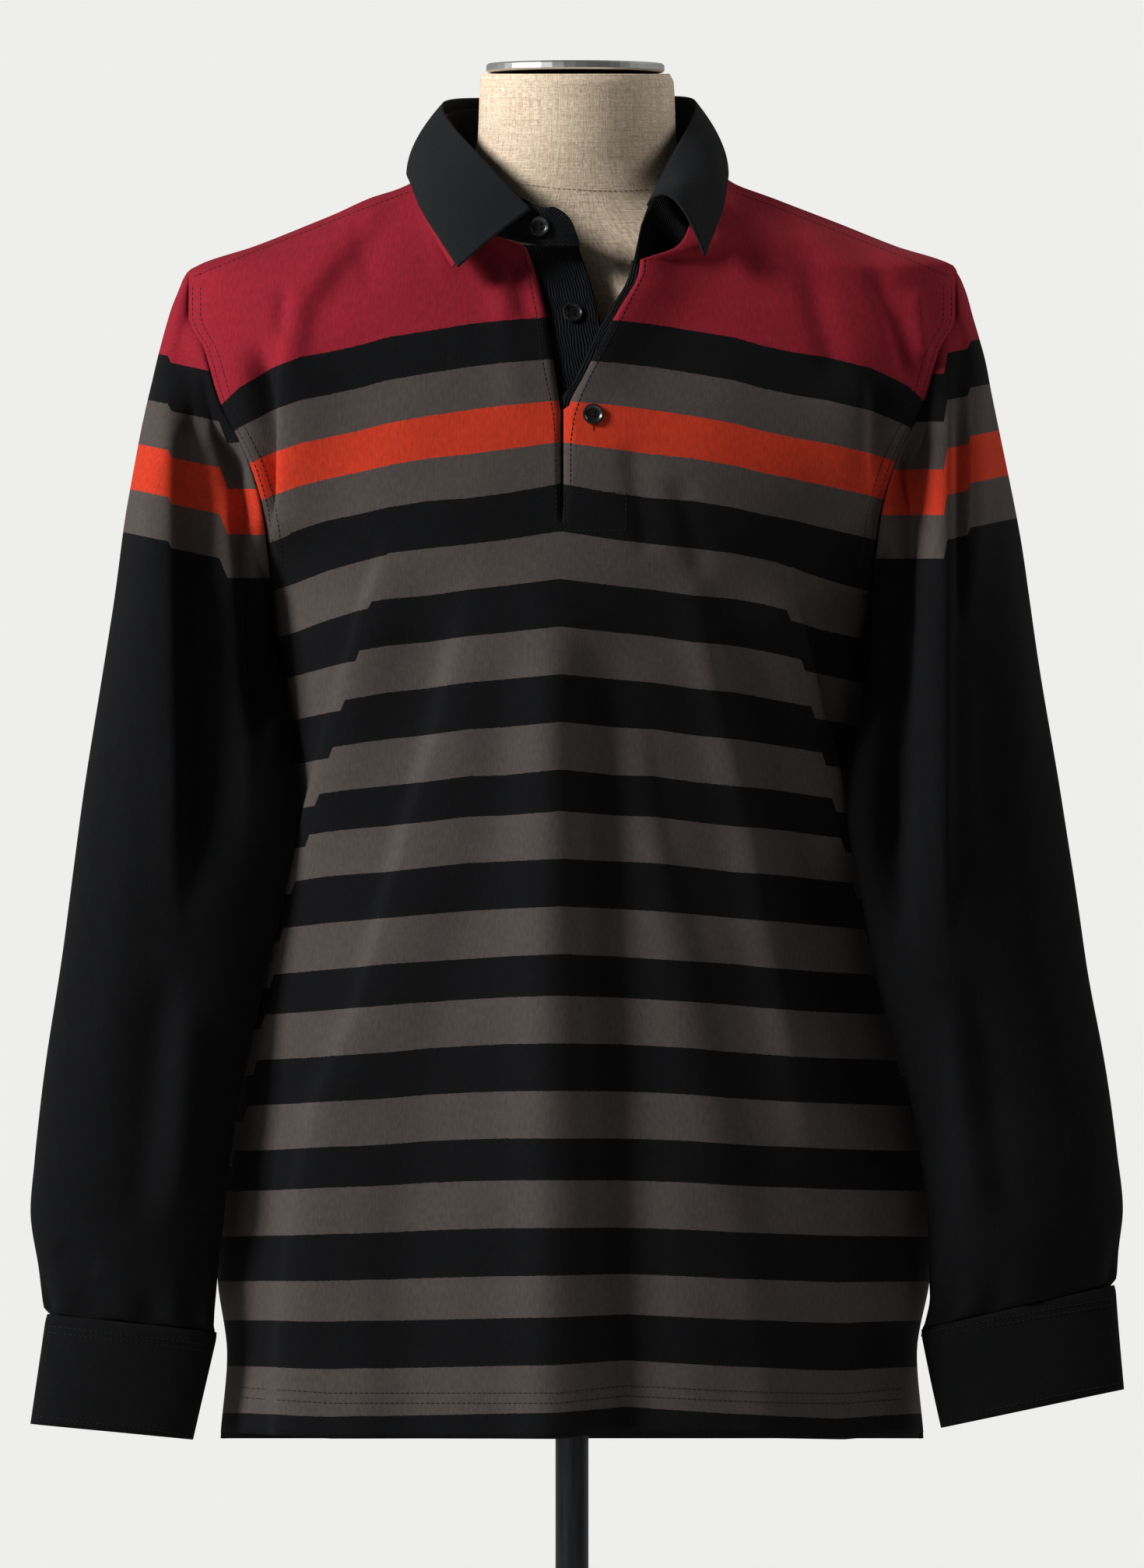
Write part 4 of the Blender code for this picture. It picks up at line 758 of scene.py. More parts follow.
FRONT_ROWS = heights(
    (NECK_SIDE_Z, NECK_FRONT_RIGHT_Z, 20),
    (NECK_FRONT_RIGHT_Z, NECK_FRONT_LEFT_Z, 3),
    (NECK_FRONT_LEFT_Z, SHOULDER_TIP_Z, 4),
    (SHOULDER_TIP_Z, SLIT_TOP_Z, 34),
    (SLIT_TOP_Z, ABOVE_UNDERARM_Z, 32),
    (ABOVE_UNDERARM_Z, UNDERARM_Z, 12),
    (UNDERARM_Z, BELOW_UNDERARM_Z, 12),
    (BELOW_UNDERARM_Z, HEM_Z, 112),
)
FRONT_HALF_COLUMNS = 92
STEADY_TURN = 0.75
STEADY_SHARE = 0.7


def column_turns(inner, end, share):
    """The turns of columns between a panel's middle and its end. Most run straight down past
    the armhole, and the rest close up beside it."""
    steady = np.minimum(STEADY_TURN, end + (inner - end) * 0.55)
    middle = inner + (steady - inner) * share / STEADY_SHARE
    beside = steady + (end - steady) * (share - STEADY_SHARE) / (1 - STEADY_SHARE)
    return np.where(share < STEADY_SHARE, middle, beside)


def front_half(side):
    z = FRONT_ROWS[:, None]
    end = side_turn(z, "front")
    inner = turn_at(z, opening_x(z, side))
    share = np.linspace(0, 1, FRONT_HALF_COLUMNS + 1)[None, :]
    if side > 0:
        turn = column_turns(inner, end, share)
    else:
        turn = math.pi - column_turns(math.pi - inner, end, share)
    grid, normals = front_surface(np.broadcast_to(z, turn.shape), turn)
    across = arc(grid, 1)
    to_edge = across[:, -1:] - across
    x, height = grid[..., 0], grid[..., 2]
    at_seam = ease(to_edge / 0.012)
    folds = (fold_height(FRONT_FOLDS, x, height) + ripple(x, height, 1.0)) * at_seam
    folds += side_fin(to_edge, height)
    opened = np.where(height > SLIT_TOP_Z, ease(across / 0.012), 1.0)
    folds = folds * (0.25 + 0.75 * opened) - edge_roll(to_edge)
    grid = displaced(grid, folds, normals=normals)
    grid[..., 1] -= seam_gap(FRONT_ROWS, to_edge)
    stripe = stripe_height(grid[..., 0], grid[..., 2])
    steps = stripe_step(STEP_RIGHT if side < 0 else STEP_LEFT, grid[..., 0], grid[..., 2])
    grid[..., 2] += hem_lift(grid[..., 0], grid[..., 2])
    uv = np.stack([inner_arc(side, across, x), stripe], axis=-1)
    reach = np.where(FRONT_ROWS > UNDERARM_Z, 0.0045, 0.0030)
    reach[FRONT_ROWS <= VENT_TOP_Z] = 0.0003
    grid = tucked(grid, 1, True, reach, 0.0012)
    past, size, stripe, to_edge, uv = (
        doubled(values, 1, True) for values in (steps[0] * side, steps[1], stripe, to_edge, uv)
    )
    return grid, uv, {"stripe": stripe, "edge": to_edge, "past_step": past, "step": size}


def inner_arc(side, across, x):
    return side * (np.abs(x[:, :1]) + across)


def build_front():
    halves = []
    for side in (1, -1):
        grid, uv, values = front_half(side)
        if side < 0:
            grid, uv = grid[:, ::-1], uv[:, ::-1]
            values = {key: value[:, ::-1] for key, value in values.items()}
        halves.append(mesh_of_grid(f"half_{side}", settle(grid), values=values, uv=uv))
    front = join("front_panel", halves)
    shell(front)
    return finish_piece(front, striped_knit, "striped_knit", "front")


def build_back():
    rows = heights(
        (NECK_BACK_Z, NECK_SIDE_Z, 6),
        (NECK_SIDE_Z, SHOULDER_TIP_Z, 28),
        (SHOULDER_TIP_Z, ABOVE_UNDERARM_Z, 42),
        (ABOVE_UNDERARM_Z, UNDERARM_Z, 10),
        (UNDERARM_Z, BELOW_UNDERARM_Z, 10),
        (BELOW_UNDERARM_Z, HEM_Z, 90),
    )
    z = rows[:, None]
    end = side_turn(z, "back")
    share = np.linspace(0, 1, 191)[None, :]
    half = column_turns(math.pi / 2, end, np.abs(2 * share - 1))
    turn = np.where(share < 0.5, -half, half - math.pi)
    z = np.broadcast_to(z, turn.shape)
    grid, normals = section_point(torso, z, turn), section_normals(torso, z, turn)
    across = arc(grid, 1)
    to_edge = np.minimum(across, across[:, -1:] - across)
    x, height = grid[..., 0], grid[..., 2]
    at_seam = ease(to_edge / 0.02)
    folds = fold_height(BACK_FOLDS, x, height) * at_seam + ripple(x, height, 4.0) * at_seam
    folds += side_fin(to_edge, height)
    grid = displaced(grid, folds - edge_roll(to_edge), normals=normals)
    grid[..., 1] += seam_gap(rows, to_edge)
    stripe = stripe_height(grid[..., 0], grid[..., 2])
    uv = np.stack([across, stripe], axis=-1)
    reach = np.where(rows > VENT_TOP_Z, 0.0030, 0.0003)
    for last in (False, True):
        grid = tucked(grid, 1, last, reach, 0.0016)
        stripe, to_edge, uv = (doubled(values, 1, last) for values in (stripe, to_edge, uv))
    values = {"stripe": stripe, "edge": to_edge}
    back = mesh_of_grid("back_panel", settle(grid), values=values, uv=uv)
    weld(back)
    shell(back)
    return finish_piece(back, striped_knit, "striped_knit", "back")


# ------------------------------------------------------------------ sleeves
def sleeve_section(table, z, turn):
    front, back = table["front"](z), table["back"](z)
    outer_y = (front + back) / 2
    ahead = np.sin(turn) >= 0
    outside = np.cos(turn) >= 0
    ridge = np.where(ahead, table["ridge"](z), table["back_ridge"](z))
    side = np.where(outside, table["outer"](z), table["inner"](z))
    side_y = np.where(outside, outer_y, table["inner_y"](z))
    far_y = np.where(ahead, front, back)
    power = table["power"](z) + np.where(ahead & outside, table["fuller"](z), 0.0)
    exponent = 2 / np.where(~ahead & ~outside, table["tuck"](z), power)
    across = ridge + (side - ridge) * np.abs(np.cos(turn)) ** exponent
    deep = side_y + (far_y - side_y) * np.abs(np.sin(turn)) ** exponent
    return across, deep


def armhole_point(turn):
    z = SHOULDER_TIP_Z + (UNDERARM_Z - SHOULDER_TIP_Z) * (1 - np.cos(turn)) / 2
    ahead = np.sin(turn) >= 0
    end = np.where(ahead, side_turn(z, "front"), -side_turn(z, "back"))
    point = section_point(torso, z, end)
    return point[..., 0] - torso["mid"](z), point[..., 1], z


def sleeve_point(table, side, turn, z):
    seam_x, seam_y, seam_z = armhole_point(turn)
    start_x, start_y = sleeve_section(table, seam_z, turn)
    here_x, here_y = sleeve_section(table, z, turn)
    hold = 1 - ease((seam_z - z) / SLEEVE_SETTLE)
    x = here_x + (seam_x + SEAM_GAP - start_x) * hold
    y = here_y + (seam_y - start_y) * hold
    lift = table["tilt"](z) * (here_x - table["ridge"](z))
    return np.stack([side * x, y, z + lift], axis=-1)


SLEEVE_COLUMNS = 150


def build_sleeve(name, side, rows, cuff_rows, folds, stripes):
    table = columns(rows)
    # the right sleeve's outer front lies flatter than its section in the tables
    fullness = 0.9 if side < 0 else 0.0
    table["fuller"] = lambda z: fullness * ease((z - 0.86) / 0.1)
    turn = side * 2 * math.pi * np.arange(SLEEVE_COLUMNS)[None, :] / SLEEVE_COLUMNS
    seam_z = armhole_point(turn)[2]
    head = (np.arange(64)[:, None] / 64) ** 1.15
    z_head = seam_z + (SLEEVE_SETTLED_Z - seam_z) * head
    z_low = np.linspace(SLEEVE_SETTLED_Z, rows[-1].z, 118)[:, None] + 0 * turn
    z = np.concatenate([z_head, z_low])
    turn = np.broadcast_to(turn, z.shape)
    grid = sleeve_point(table, side, turn, z)
    down = arc(grid, 0)
    x, y, height = grid[..., 0], grid[..., 1], grid[..., 2]
    ahead = ease((np.sin(turn) + 0.25) / 0.5)
    lifted = fold_height(folds, x, height) * ahead
    lifted += fold_height(SLEEVE_FOLDS_BACK, np.abs(x), height) * (1 - ahead)
    lifted += ripple(x + y, height, 7.0 + side)
    to_cuff = down[-1:] - down
    lifted = lifted * ease(down / 0.012) * ease(to_cuff / 0.03)
    lifted -= edge_roll(down) + edge_roll(to_cuff)
    # gathers of the sleeve's end into the cuff
    pleat = 0.0016 * np.cos(turn * 9 + 0.7 * np.sin(3 * turn)) * np.exp(-((to_cuff / 0.022) ** 2))
    lifted += pleat * ease(to_cuff / 0.004)
    grid = displaced(grid, lifted, wrapped=True)
    creases = SLEEVE_CREASES_RIGHT if side < 0 else SLEEVE_CREASES_LEFT
    reach = np.maximum(np.abs(grid[..., 0]), creases[1][0])
    drop = SLEEVE_SLOPE * np.maximum(table["outer"](height) - reach, 0)
    creased = {}
    for key, size_key, (place, size) in zip(
        ("past_fold", "past_step"), ("fold", "step"), creases
    ):
        sharpness = 0.15 if key == "past_step" and side < 0 else 0.35
        creased[key] = (place - np.abs(grid[..., 0])) * sharpness
        creased[size_key] = size * ahead
    tops, far = [top for top, _ in STRIPE_TOPS[5:0:-1]], 0.3
    stripe = np.interp(
        grid[..., 2] + drop,
        (stripes[4] - far, *stripes[::-1], stripes[0] + far),
        (tops[0] - far, *tops, tops[-1] + far),
    )
    stripe = np.maximum(stripe, SLEEVE_BLACK_BELOW)
    uv = np.stack([arc(grid, 1), -down], axis=-1)
    for last, reach, sink in ((False, 0.0035, 0.0016), (True, 0.0050, 0.0014)):
        grid = tucked(grid, 0, last, reach, sink, wrapped=True)
        stripe, down, uv = (doubled(values, 0, last) for values in (stripe, down, uv))
        creased = {key: doubled(values, 0, last) for key, values in creased.items()}
    values = {"stripe": stripe, "edge": down, "sleeve": np.ones(down.shape), **creased}
    sleeve = cloth_piece(
        f"sleeve_{name}_cloth", grid, striped_knit, "striped_knit", f"sleeve_{name}",
        values=values, uv=uv, wrapped=True,
    )

    cuff_table = columns(cuff_rows)
    cuff_table["fuller"] = table["fuller"]
    turn = side * 2 * math.pi * np.arange(SLEEVE_COLUMNS)[None, :] / SLEEVE_COLUMNS
    z = np.linspace(cuff_rows[0].z, cuff_rows[-1].z, 26)[:, None] + 0 * turn
    turn = np.broadcast_to(turn, z.shape)
    across, deep = sleeve_section(cuff_table, z, turn)
    lift = cuff_table["tilt"](z) * (across - cuff_table["ridge"](z))
    grid = np.stack([side * across, deep, z + lift], axis=-1)
    down = arc(grid, 0)
    to_end = down[-1:] - down
    lifted = 0.0006 + ripple(grid[..., 0], grid[..., 2], 11.0 + side) - edge_roll(down)
    grid = displaced(grid, lifted, wrapped=True)
    uv = np.stack([arc(grid, 1), -down], axis=-1)
    cuff = cloth_piece(
        f"cuff_{name}_cloth", grid, cuff_knit, "black_knit", f"cuff_{name}", CUFF_CLOTH,
        values={"edge": np.minimum(down, to_end)}, uv=uv, wrapped=True,
    )
    return sleeve, cuff


# ------------------------------------------------------------------ collar and placket
def along(points, t):
    """A smooth curve through points for an array of t from 0 to 1."""
    points = np.array(points, float)
    padded = np.vstack([2 * points[0] - points[1], points, 2 * points[-1] - points[-2]])
    place = np.asarray(t) * (len(points) - 1)
    i = np.minimum(place.astype(int), len(points) - 2)
    f = (place - i)[..., None]
    before, a, b, after = padded[i], padded[i + 1], padded[i + 2], padded[i + 3]
    return (
        a * (2 * f**3 - 3 * f**2 + 1)
        + (b - before) / 2 * (f**3 - 2 * f**2 + f)
        + b * (3 * f**2 - 2 * f**3)
        + (after - a) / 2 * (f**3 - f**2)
    )


def collar_surface(table, t, down, bulge):
    roll = along([row.roll for row in table], t)
    edge = along([row.edge for row in table], t)
    away = (roll - np.array([0.002, 0.0, 0.0])) * np.array([1.0, 1.0, 0.0])
    away /= np.linalg.norm(away, axis=-1, keepdims=True)
    down = down[..., None]
    return roll + (edge - roll) * down + away * (bulge * 4 * down * (1 - down))


def leaf_surface(t, down):
    """The collar leaf, with its left front edge curled up and forward."""
    grid = collar_surface(COLLAR, t, down, LEAF_BULGE)
    near = np.exp(-(((1 - t) / 0.045) ** 2))
    curl = np.sin(math.pi * np.clip(down, 0, 1) ** 0.75) * near
    grid[..., 1] -= 0.005 * curl
    grid[..., 2] += 0.016 * curl
    return grid


def build_collar():
    t, down = np.meshgrid(np.linspace(1, 0, 260), np.linspace(0, 1, 36))
    grid = leaf_surface(t, down)
    leaf = cloth_piece(
        "collar_leaf_cloth", grid, collar_knit, "black_knit", "collar_leaf", LEAF_CLOTH,
        values={"edge": 1 - down},
    )

    t, down = np.meshgrid(np.linspace(0.985, 0.012, 220), np.linspace(0.17, 1.065, 22))
    grid = leaf_surface(t, down)
    grid = displaced(grid, np.full(t.shape, -UNDER_LEAF))
    under = cloth_piece("collar_under_cloth", grid, crimson_knit, "crimson_knit", "collar_under")

    t, down = np.meshgrid(np.linspace(1, 0, 260), np.linspace(0, 1, 14))
    grid = collar_surface(STAND, t, down, 0.0)
    stand = cloth_piece(
        "collar_stand_cloth", grid, twill, "black_twill", "collar_stand", STAND_CLOTH
    )
    return leaf, under, stand


def build_placket():
    z = FRONT_ROWS[(FRONT_ROWS <= FACING_TOP_Z) & (FRONT_ROWS >= PLACKET_BOTTOM_Z)][:, None]
    first = opening["facing_edge"](z)
    last = opening_x(z, 1) + FACING_WIDTH
    share = np.linspace(0, 1, 24)[None, :]
    turn = turn_at(z, first + (last - first) * share)
    grid, normals = front_surface(np.broadcast_to(z, turn.shape), turn)
    folds = fold_height(FRONT_FOLDS, grid[..., 0], grid[..., 2])
    grid = displaced(grid, folds * PLACKET_FOLDS - BEHIND_FRONT_FACING, normals=normals)
    facing = cloth_piece("placket_facing_cloth", grid, twill, "black_twill", "placket_facing")

    z = np.concatenate([np.linspace(UNDERLAP_TOP_Z, z[0, 0] + 0.001, 4)[:, None], z])
    first = opening["right_edge"](z) - 0.004
    last = opening["underlap_edge"](z)
    turn = turn_at(z, first + (last - first) * share)
    z = np.broadcast_to(z, turn.shape)
    grid, normals = section_point(torso, z, turn), section_normals(torso, z, turn)
    folds = fold_height(FRONT_FOLDS, grid[..., 0], grid[..., 2])
    grid = displaced(grid, folds * PLACKET_FOLDS - BEHIND_FRONT_UNDERLAP, normals=normals)
    underlap = cloth_piece(
        "placket_underlap_cloth", grid, twill, "black_twill", "placket_underlap", STAND_CLOTH
    )
    return facing, underlap


# ------------------------------------------------------------------ form
def build_form():
    table = columns(FORM)
    rows = heights((1.5908, 1.585, 6), (1.585, 1.532, 30), (1.532, 1.44, 50), (1.44, 0.830, 90))
    turn = -2 * math.pi * np.arange(160)[None, :] / 160
    z = rows[:, None] + 0 * turn
    grid = section_point(table, z, np.broadcast_to(turn, z.shape))
    uv = np.stack([-turn * 0.058 + 0 * z, z], axis=-1)
    form = mesh_of_grid("form_linen", settle(grid), True, uv=uv)
    close_ends(form, grid.shape)
    finish_piece(form, linen, "linen", "form_body")
    return form


def close_ends(obj, shape):
    bm = bmesh.new()
    bm.from_mesh(obj.data)
    bm.verts.ensure_lookup_table()
    count = shape[1]
    bm.faces.new([bm.verts[i] for i in range(count)])
    last = (shape[0] - 1) * count
    bm.faces.new([bm.verts[last + i] for i in range(count - 1, -1, -1)])
    bmesh.ops.recalc_face_normals(bm, faces=bm.faces)
    bm.to_mesh(obj.data)
    bm.free()


# ------------------------------------------------------------------ materials
COLOURS = {
    "crimson": (0.270, 0.0210, 0.0350),
    "orange": (0.500, 0.0520, 0.0240),
    "grey": (0.0900, 0.0760, 0.0710),
    "black": (0.0085, 0.0088, 0.0098),
}


class Nodes:
    """Small helper to write shader trees line by line."""

    def __init__(self, name):
        self.material = bpy.data.materials.new(name)
        self.material.use_nodes = True
        self.tree = self.material.node_tree
        self.shader = self.tree.nodes["Principled BSDF"]

    def node(self, kind, **settings):
        made = self.tree.nodes.new(kind)
        for key, value in settings.items():
            setattr(made, key, value)
        return made

    def put(self, socket, value):
        if isinstance(value, bpy.types.NodeSocket):
            self.tree.links.new(value, socket)
        else:
            socket.default_value = value

    def math(self, operation, *values, clamp=False):
        made = self.node("ShaderNodeMath", operation=operation, use_clamp=clamp)
        for socket, value in zip(made.inputs, values):
            self.put(socket, value)
        return made.outputs[0]

    def attribute(self, name):
        return self.node("ShaderNodeAttribute", attribute_name=name).outputs["Fac"]

    def uv(self):
        made = self.node("ShaderNodeSeparateXYZ")
        self.put(made.inputs[0], self.node("ShaderNodeUVMap", uv_map="cloth").outputs[0])
        return made.outputs[0], made.outputs[1]

    def noise(self, scale, detail=2.0, stretch=(1.0, 1.0, 1.0), place=None):
        """Noise on the cloth's UV map, or at another vector."""
        place = place or self.node("ShaderNodeUVMap", uv_map="cloth").outputs[0]
        if stretch:
            mapping = self.node("ShaderNodeMapping")
            mapping.inputs["Scale"].default_value = stretch
            self.put(mapping.inputs[0], place)
            place = mapping.outputs[0]
        made = self.node("ShaderNodeTexNoise")
        made.inputs["Scale"].default_value = scale
        made.inputs["Detail"].default_value = detail
        self.put(made.inputs["Vector"], place)
        return made.outputs["Fac"]

    def grain(self, scale, detail=2.0, stretch=None):
        """Noise in the object's own coordinates, for pieces without a UV map."""
        place = self.node("ShaderNodeTexCoord").outputs["Object"]
        return self.noise(scale, detail, stretch, place)

    def wave(self, coordinate, pitch, phase=0.0):
        """A sine from 0 to 1 along a coordinate in metres."""
        angle = self.math("MULTIPLY_ADD", coordinate, 2 * math.pi / pitch, phase)
        return self.math("MULTIPLY_ADD", self.math("SINE", angle), 0.5, 0.5)

    def mix(self, factor, a, b):
        made = self.node("ShaderNodeMix", data_type="RGBA")
        self.put(made.inputs["Factor"], factor)
        self.put(made.inputs[6], a)
        self.put(made.inputs[7], b)
        return made.outputs[2]

    def scaled(self, colour, factor):
        made = self.node("ShaderNodeMix", data_type="RGBA", blend_type="MULTIPLY")
        made.inputs["Factor"].default_value = 1.0
        self.put(made.inputs[6], colour)
        combine = self.node("ShaderNodeCombineColor")
        for socket in combine.inputs[:3]:
            self.put(socket, factor)
        self.put(made.inputs[7], combine.outputs[0])
        return made.outputs[2]

    def bump(self, height, strength, distance):
        made = self.node("ShaderNodeBump")
        made.inputs["Strength"].default_value = strength
        made.inputs["Distance"].default_value = distance
        self.put(made.inputs["Height"], height)
        self.put(self.shader.inputs["Normal"], made.outputs[0])

    def surface(self, colour, roughness, sheen=0.0, specular=0.5):
        self.put(self.shader.inputs["Base Color"], colour)
        self.shader.inputs["Roughness"].default_value = roughness
        self.shader.inputs["Specular IOR Level"].default_value = specular
        if sheen:
            self.shader.inputs["Sheen Weight"].default_value = sheen
            self.shader.inputs["Sheen Roughness"].default_value = 0.45
        return self.material


def knit_height(n, wale, course):
    """The relief of a knit: rows of V-shaped loops, as a height from 0 to 1."""
    u, v = n.uv()
    slant = n.math("MULTIPLY", n.math("ABSOLUTE", n.math("SUBTRACT", n.wave(u, wale), 0.5)), 0.8)
    rows = n.wave(n.math("MULTIPLY_ADD", slant, course, v), course)
    ribs = n.wave(u, wale)
    return n.math("MULTIPLY_ADD", rows, 0.45, n.math("MULTIPLY", ribs, 0.55))


def make_striped_knit():
    n = Nodes("striped_knit")
    low, high = 0.70, 1.62
    wobble = n.math("MULTIPLY_ADD", n.noise(420.0, 1.0), 0.0008, -0.0004)
    lower = 0.0
    for past, size in (("past_step", "step"), ("past_fold", "fold")):
        beyond = n.math("MULTIPLY_ADD", n.attribute(past), STEP_SHARPNESS, 0.5, clamp=True)
        lower = n.math("MULTIPLY_ADD", beyond, n.attribute(size), lower)
    place = n.math("ADD", n.math("ADD", n.attribute("stripe"), lower), wobble)
    # a sleeve has five stripes and is black from there to its cuff
    floor = n.math("MULTIPLY", n.attribute("sleeve"), SLEEVE_BLACK_BELOW)
    place = n.math("MAXIMUM", place, floor)
    place = n.math("DIVIDE", n.math("SUBTRACT", place, low), high - low, clamp=True)
    ramp = n.node("ShaderNodeValToRGB")
    ramp.color_ramp.interpolation = "CONSTANT"
    elements = ramp.color_ramp.elements
    elements.remove(elements[1])
    tops = [top for top, _ in STRIPE_TOPS]
    names = [name for _, name in STRIPE_TOPS]
    starts = [0.0] + [(top - low) / (high - low) for top in reversed(tops[1:])]
    for i, (start, name) in enumerate(zip(starts, reversed(names))):
        element = elements[0] if i == 0 else elements.new(start)
        element.position = start
        element.color = (*COLOURS[name], 1.0)
    n.put(ramp.inputs[0], place)
    slub = n.math("MULTIPLY_ADD", n.noise(520.0, 3.0, (1.0, 0.40, 1.0)), 0.56, 0.72)
    mottle = n.math("MULTIPLY_ADD", n.noise(38.0, 4.0), 0.16, 0.92)
    colour = n.scaled(ramp.outputs[0], n.math("MULTIPLY", slub, mottle))
    relief = n.math("MULTIPLY_ADD", n.noise(700.0, 2.0), 0.5, knit_height(n, 0.0011, 0.0009))
    n.bump(relief, 0.35, 0.00025)
    return n.surface(colour, 0.92, sheen=0.02, specular=0.08)


def make_plain_knit(name, colour, wale, course, strength, sheen):
    n = Nodes(name)
    slub = n.math("MULTIPLY_ADD", n.noise(300.0, 3.0), 0.30, 0.85)
    n.bump(knit_height(n, wale, course), strength, 0.0004)
    return n.surface(n.scaled((*colour, 1.0), slub), 0.9, sheen=sheen, specular=0.1)


def make_twill():
    n = Nodes("black_twill")
    u, _ = n.uv()
    wander = n.math("MULTIPLY_ADD", n.noise(70.0, 3.0), 0.0046, u)
    ribs = n.wave(wander, 0.0017)
    slub = n.math("MULTIPLY_ADD", n.noise(300.0, 3.0, (1.0, 0.35, 1.0)), 1.5, 0.1)
    n.bump(n.math("MULTIPLY", ribs, slub), 0.8, 0.0006)
    shade = n.math("MULTIPLY", slub, n.math("MULTIPLY_ADD", ribs, 0.5, 0.7))
    colour = n.scaled((0.0085, 0.0095, 0.0115, 1.0), shade)
    return n.surface(colour, 0.8, sheen=0.03, specular=0.12)


def make_linen():
    n = Nodes("linen_cloth")
    warp = n.noise(1900.0, 1.0, (1.0, 0.13, 1.0))
    weft = n.noise(1900.0, 1.0, (0.13, 1.0, 1.0))
    slub = n.noise(900.0, 2.0, (1.0, 0.035, 1.0))
    cross = n.noise(900.0, 2.0, (0.035, 1.0, 1.0))
    threads = n.math("ADD", warp, weft)
    slubs = n.math("ADD", slub, cross)
    tone = n.math("MULTIPLY_ADD", threads, 0.6, n.math("MULTIPLY", slubs, 0.4))
    tone = n.math("MULTIPLY_ADD", tone, 2.1, -1.6, clamp=True)
    colour = n.mix(tone, (0.50, 0.385, 0.270, 1.0), (0.90, 0.765, 0.61, 1.0))
    n.bump(threads, 0.5, 0.0004)
    return n.surface(colour, 0.95, sheen=0.03, specular=0.15)


striped_knit = make_striped_knit()
cuff_knit = make_plain_knit("cuff_knit", COLOURS["black"], 0.0011, 0.0009, 0.35, 0.02)
collar_knit = make_plain_knit("collar_knit", (0.0190, 0.0200, 0.0220), 0.0016, 0.0011, 0.6, 0.03)
crimson_knit = make_plain_knit("crimson_jersey", COLOURS["crimson"], 0.0011, 0.0009, 0.35, 0.02)
twill = make_twill()
linen = make_linen()


# ------------------------------------------------------------------ build
front = build_front()
back = build_back()
sleeve_right, cuff_right = build_sleeve(
    "right", -1, SLEEVE_RIGHT, CUFF_RIGHT, SLEEVE_FOLDS_RIGHT, SLEEVE_STRIPES_RIGHT
)
sleeve_left, cuff_left = build_sleeve(
    "left", 1, SLEEVE_LEFT, CUFF_LEFT, SLEEVE_FOLDS_LEFT, SLEEVE_STRIPES_LEFT
)
leaf, under, stand = build_collar()
facing, underlap = build_placket()
form = build_form()


# ------------------------------------------------------------------ metal, resin and thread
def metal(name, colour, roughness, brushed):
    n = Nodes(name)
    streaks = n.grain(60.0, 4.0, brushed)
    n.bump(streaks, 0.08, 0.0003)
    rough = n.math("MULTIPLY_ADD", streaks, 0.12, roughness - 0.06)
    n.put(n.shader.inputs["Base Color"], (*colour, 1.0))
    n.put(n.shader.inputs["Roughness"], rough)
    n.shader.inputs["Metallic"].default_value = 1.0
    return n.material


def dress(node, material):
    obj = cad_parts[node]
    obj.data.materials.clear()
    obj.data.materials.append(material)


dress("neck_cap", metal("polished_cap", (0.80, 0.80, 0.80), 0.40, (1.0, 1.0, 14.0)))
dress("pole", metal("dark_chrome", (0.16, 0.165, 0.18), 0.22, (8.0, 8.0, 0.4)))
dress("base", metal("dark_base", (0.055, 0.056, 0.06), 0.42, (6.0, 6.0, 1.0)))


def make_button_material():
    n = Nodes("black_resin")
    n.bump(n.grain(900.0), 0.05, 0.0002)
    return n.surface((0.018, 0.018, 0.019, 1.0), 0.30)


def make_thread(name, colour):
    n = Nodes(name)
    twist = n.grain(2400.0)
    n.bump(twist, 0.4, 0.0001)
    shade = n.math("MULTIPLY_ADD", twist, 0.5, 0.75)
    return n.surface(n.scaled((*colour, 1.0), shade), 0.6, specular=0.3)


# ------------------------------------------------------------------ buttons and stitches
class Rods:
    """Collects short round-ended rods into one mesh."""

    SIDES = 6
    STATIONS = ((0.0, 0.45, -0.6), (0.18, 1.0, 0.0), (0.82, 1.0, 0.0), (1.0, 0.45, -0.6))

    def __init__(self):
        self.points = []
        self.faces = []

    def add(self, start, end, normal, radius):
        """A rod between two points, its ends dipping into a surface with this normal."""
        across = (end - start).cross(normal).normalized()
        first = len(self.points)
        for share, width, lift in self.STATIONS:
            centre = start.lerp(end, share) + normal * (lift * radius)
            for i in range(self.SIDES):
                angle = 2 * math.pi * i / self.SIDES
                offset = across * math.cos(angle) + normal * math.sin(angle)
                self.points.append(centre + offset * (radius * width))
        count = self.SIDES
        for ring in range(len(self.STATIONS) - 1):
            for i in range(count):
                a = first + ring * count + i
                b = first + ring * count + (i + 1) % count
                self.faces.append((a, b, b + count, a + count))
        self.faces.append(tuple(first + i for i in reversed(range(count))))
        self.faces.append(tuple(len(self.points) - count + i for i in range(count)))

    def piece(self, name, material, slot):
        mesh = bpy.data.meshes.new(name)
        mesh.from_pydata(self.points, [], self.faces)
        mesh.shade_smooth()
        return finish_piece(linked(name, mesh), material, slot)


def surface_of(*pieces):
    """A tree to cast rays at the pieces' middle surfaces."""
    points, faces = [], []
    for piece in pieces:
        first = len(points)
        points += [vertex.co.copy() for vertex in piece.data.vertices]
        faces += [[first + i for i in face.vertices] for face in piece.data.polygons]
    return BVHTree.FromPolygons(points, faces)


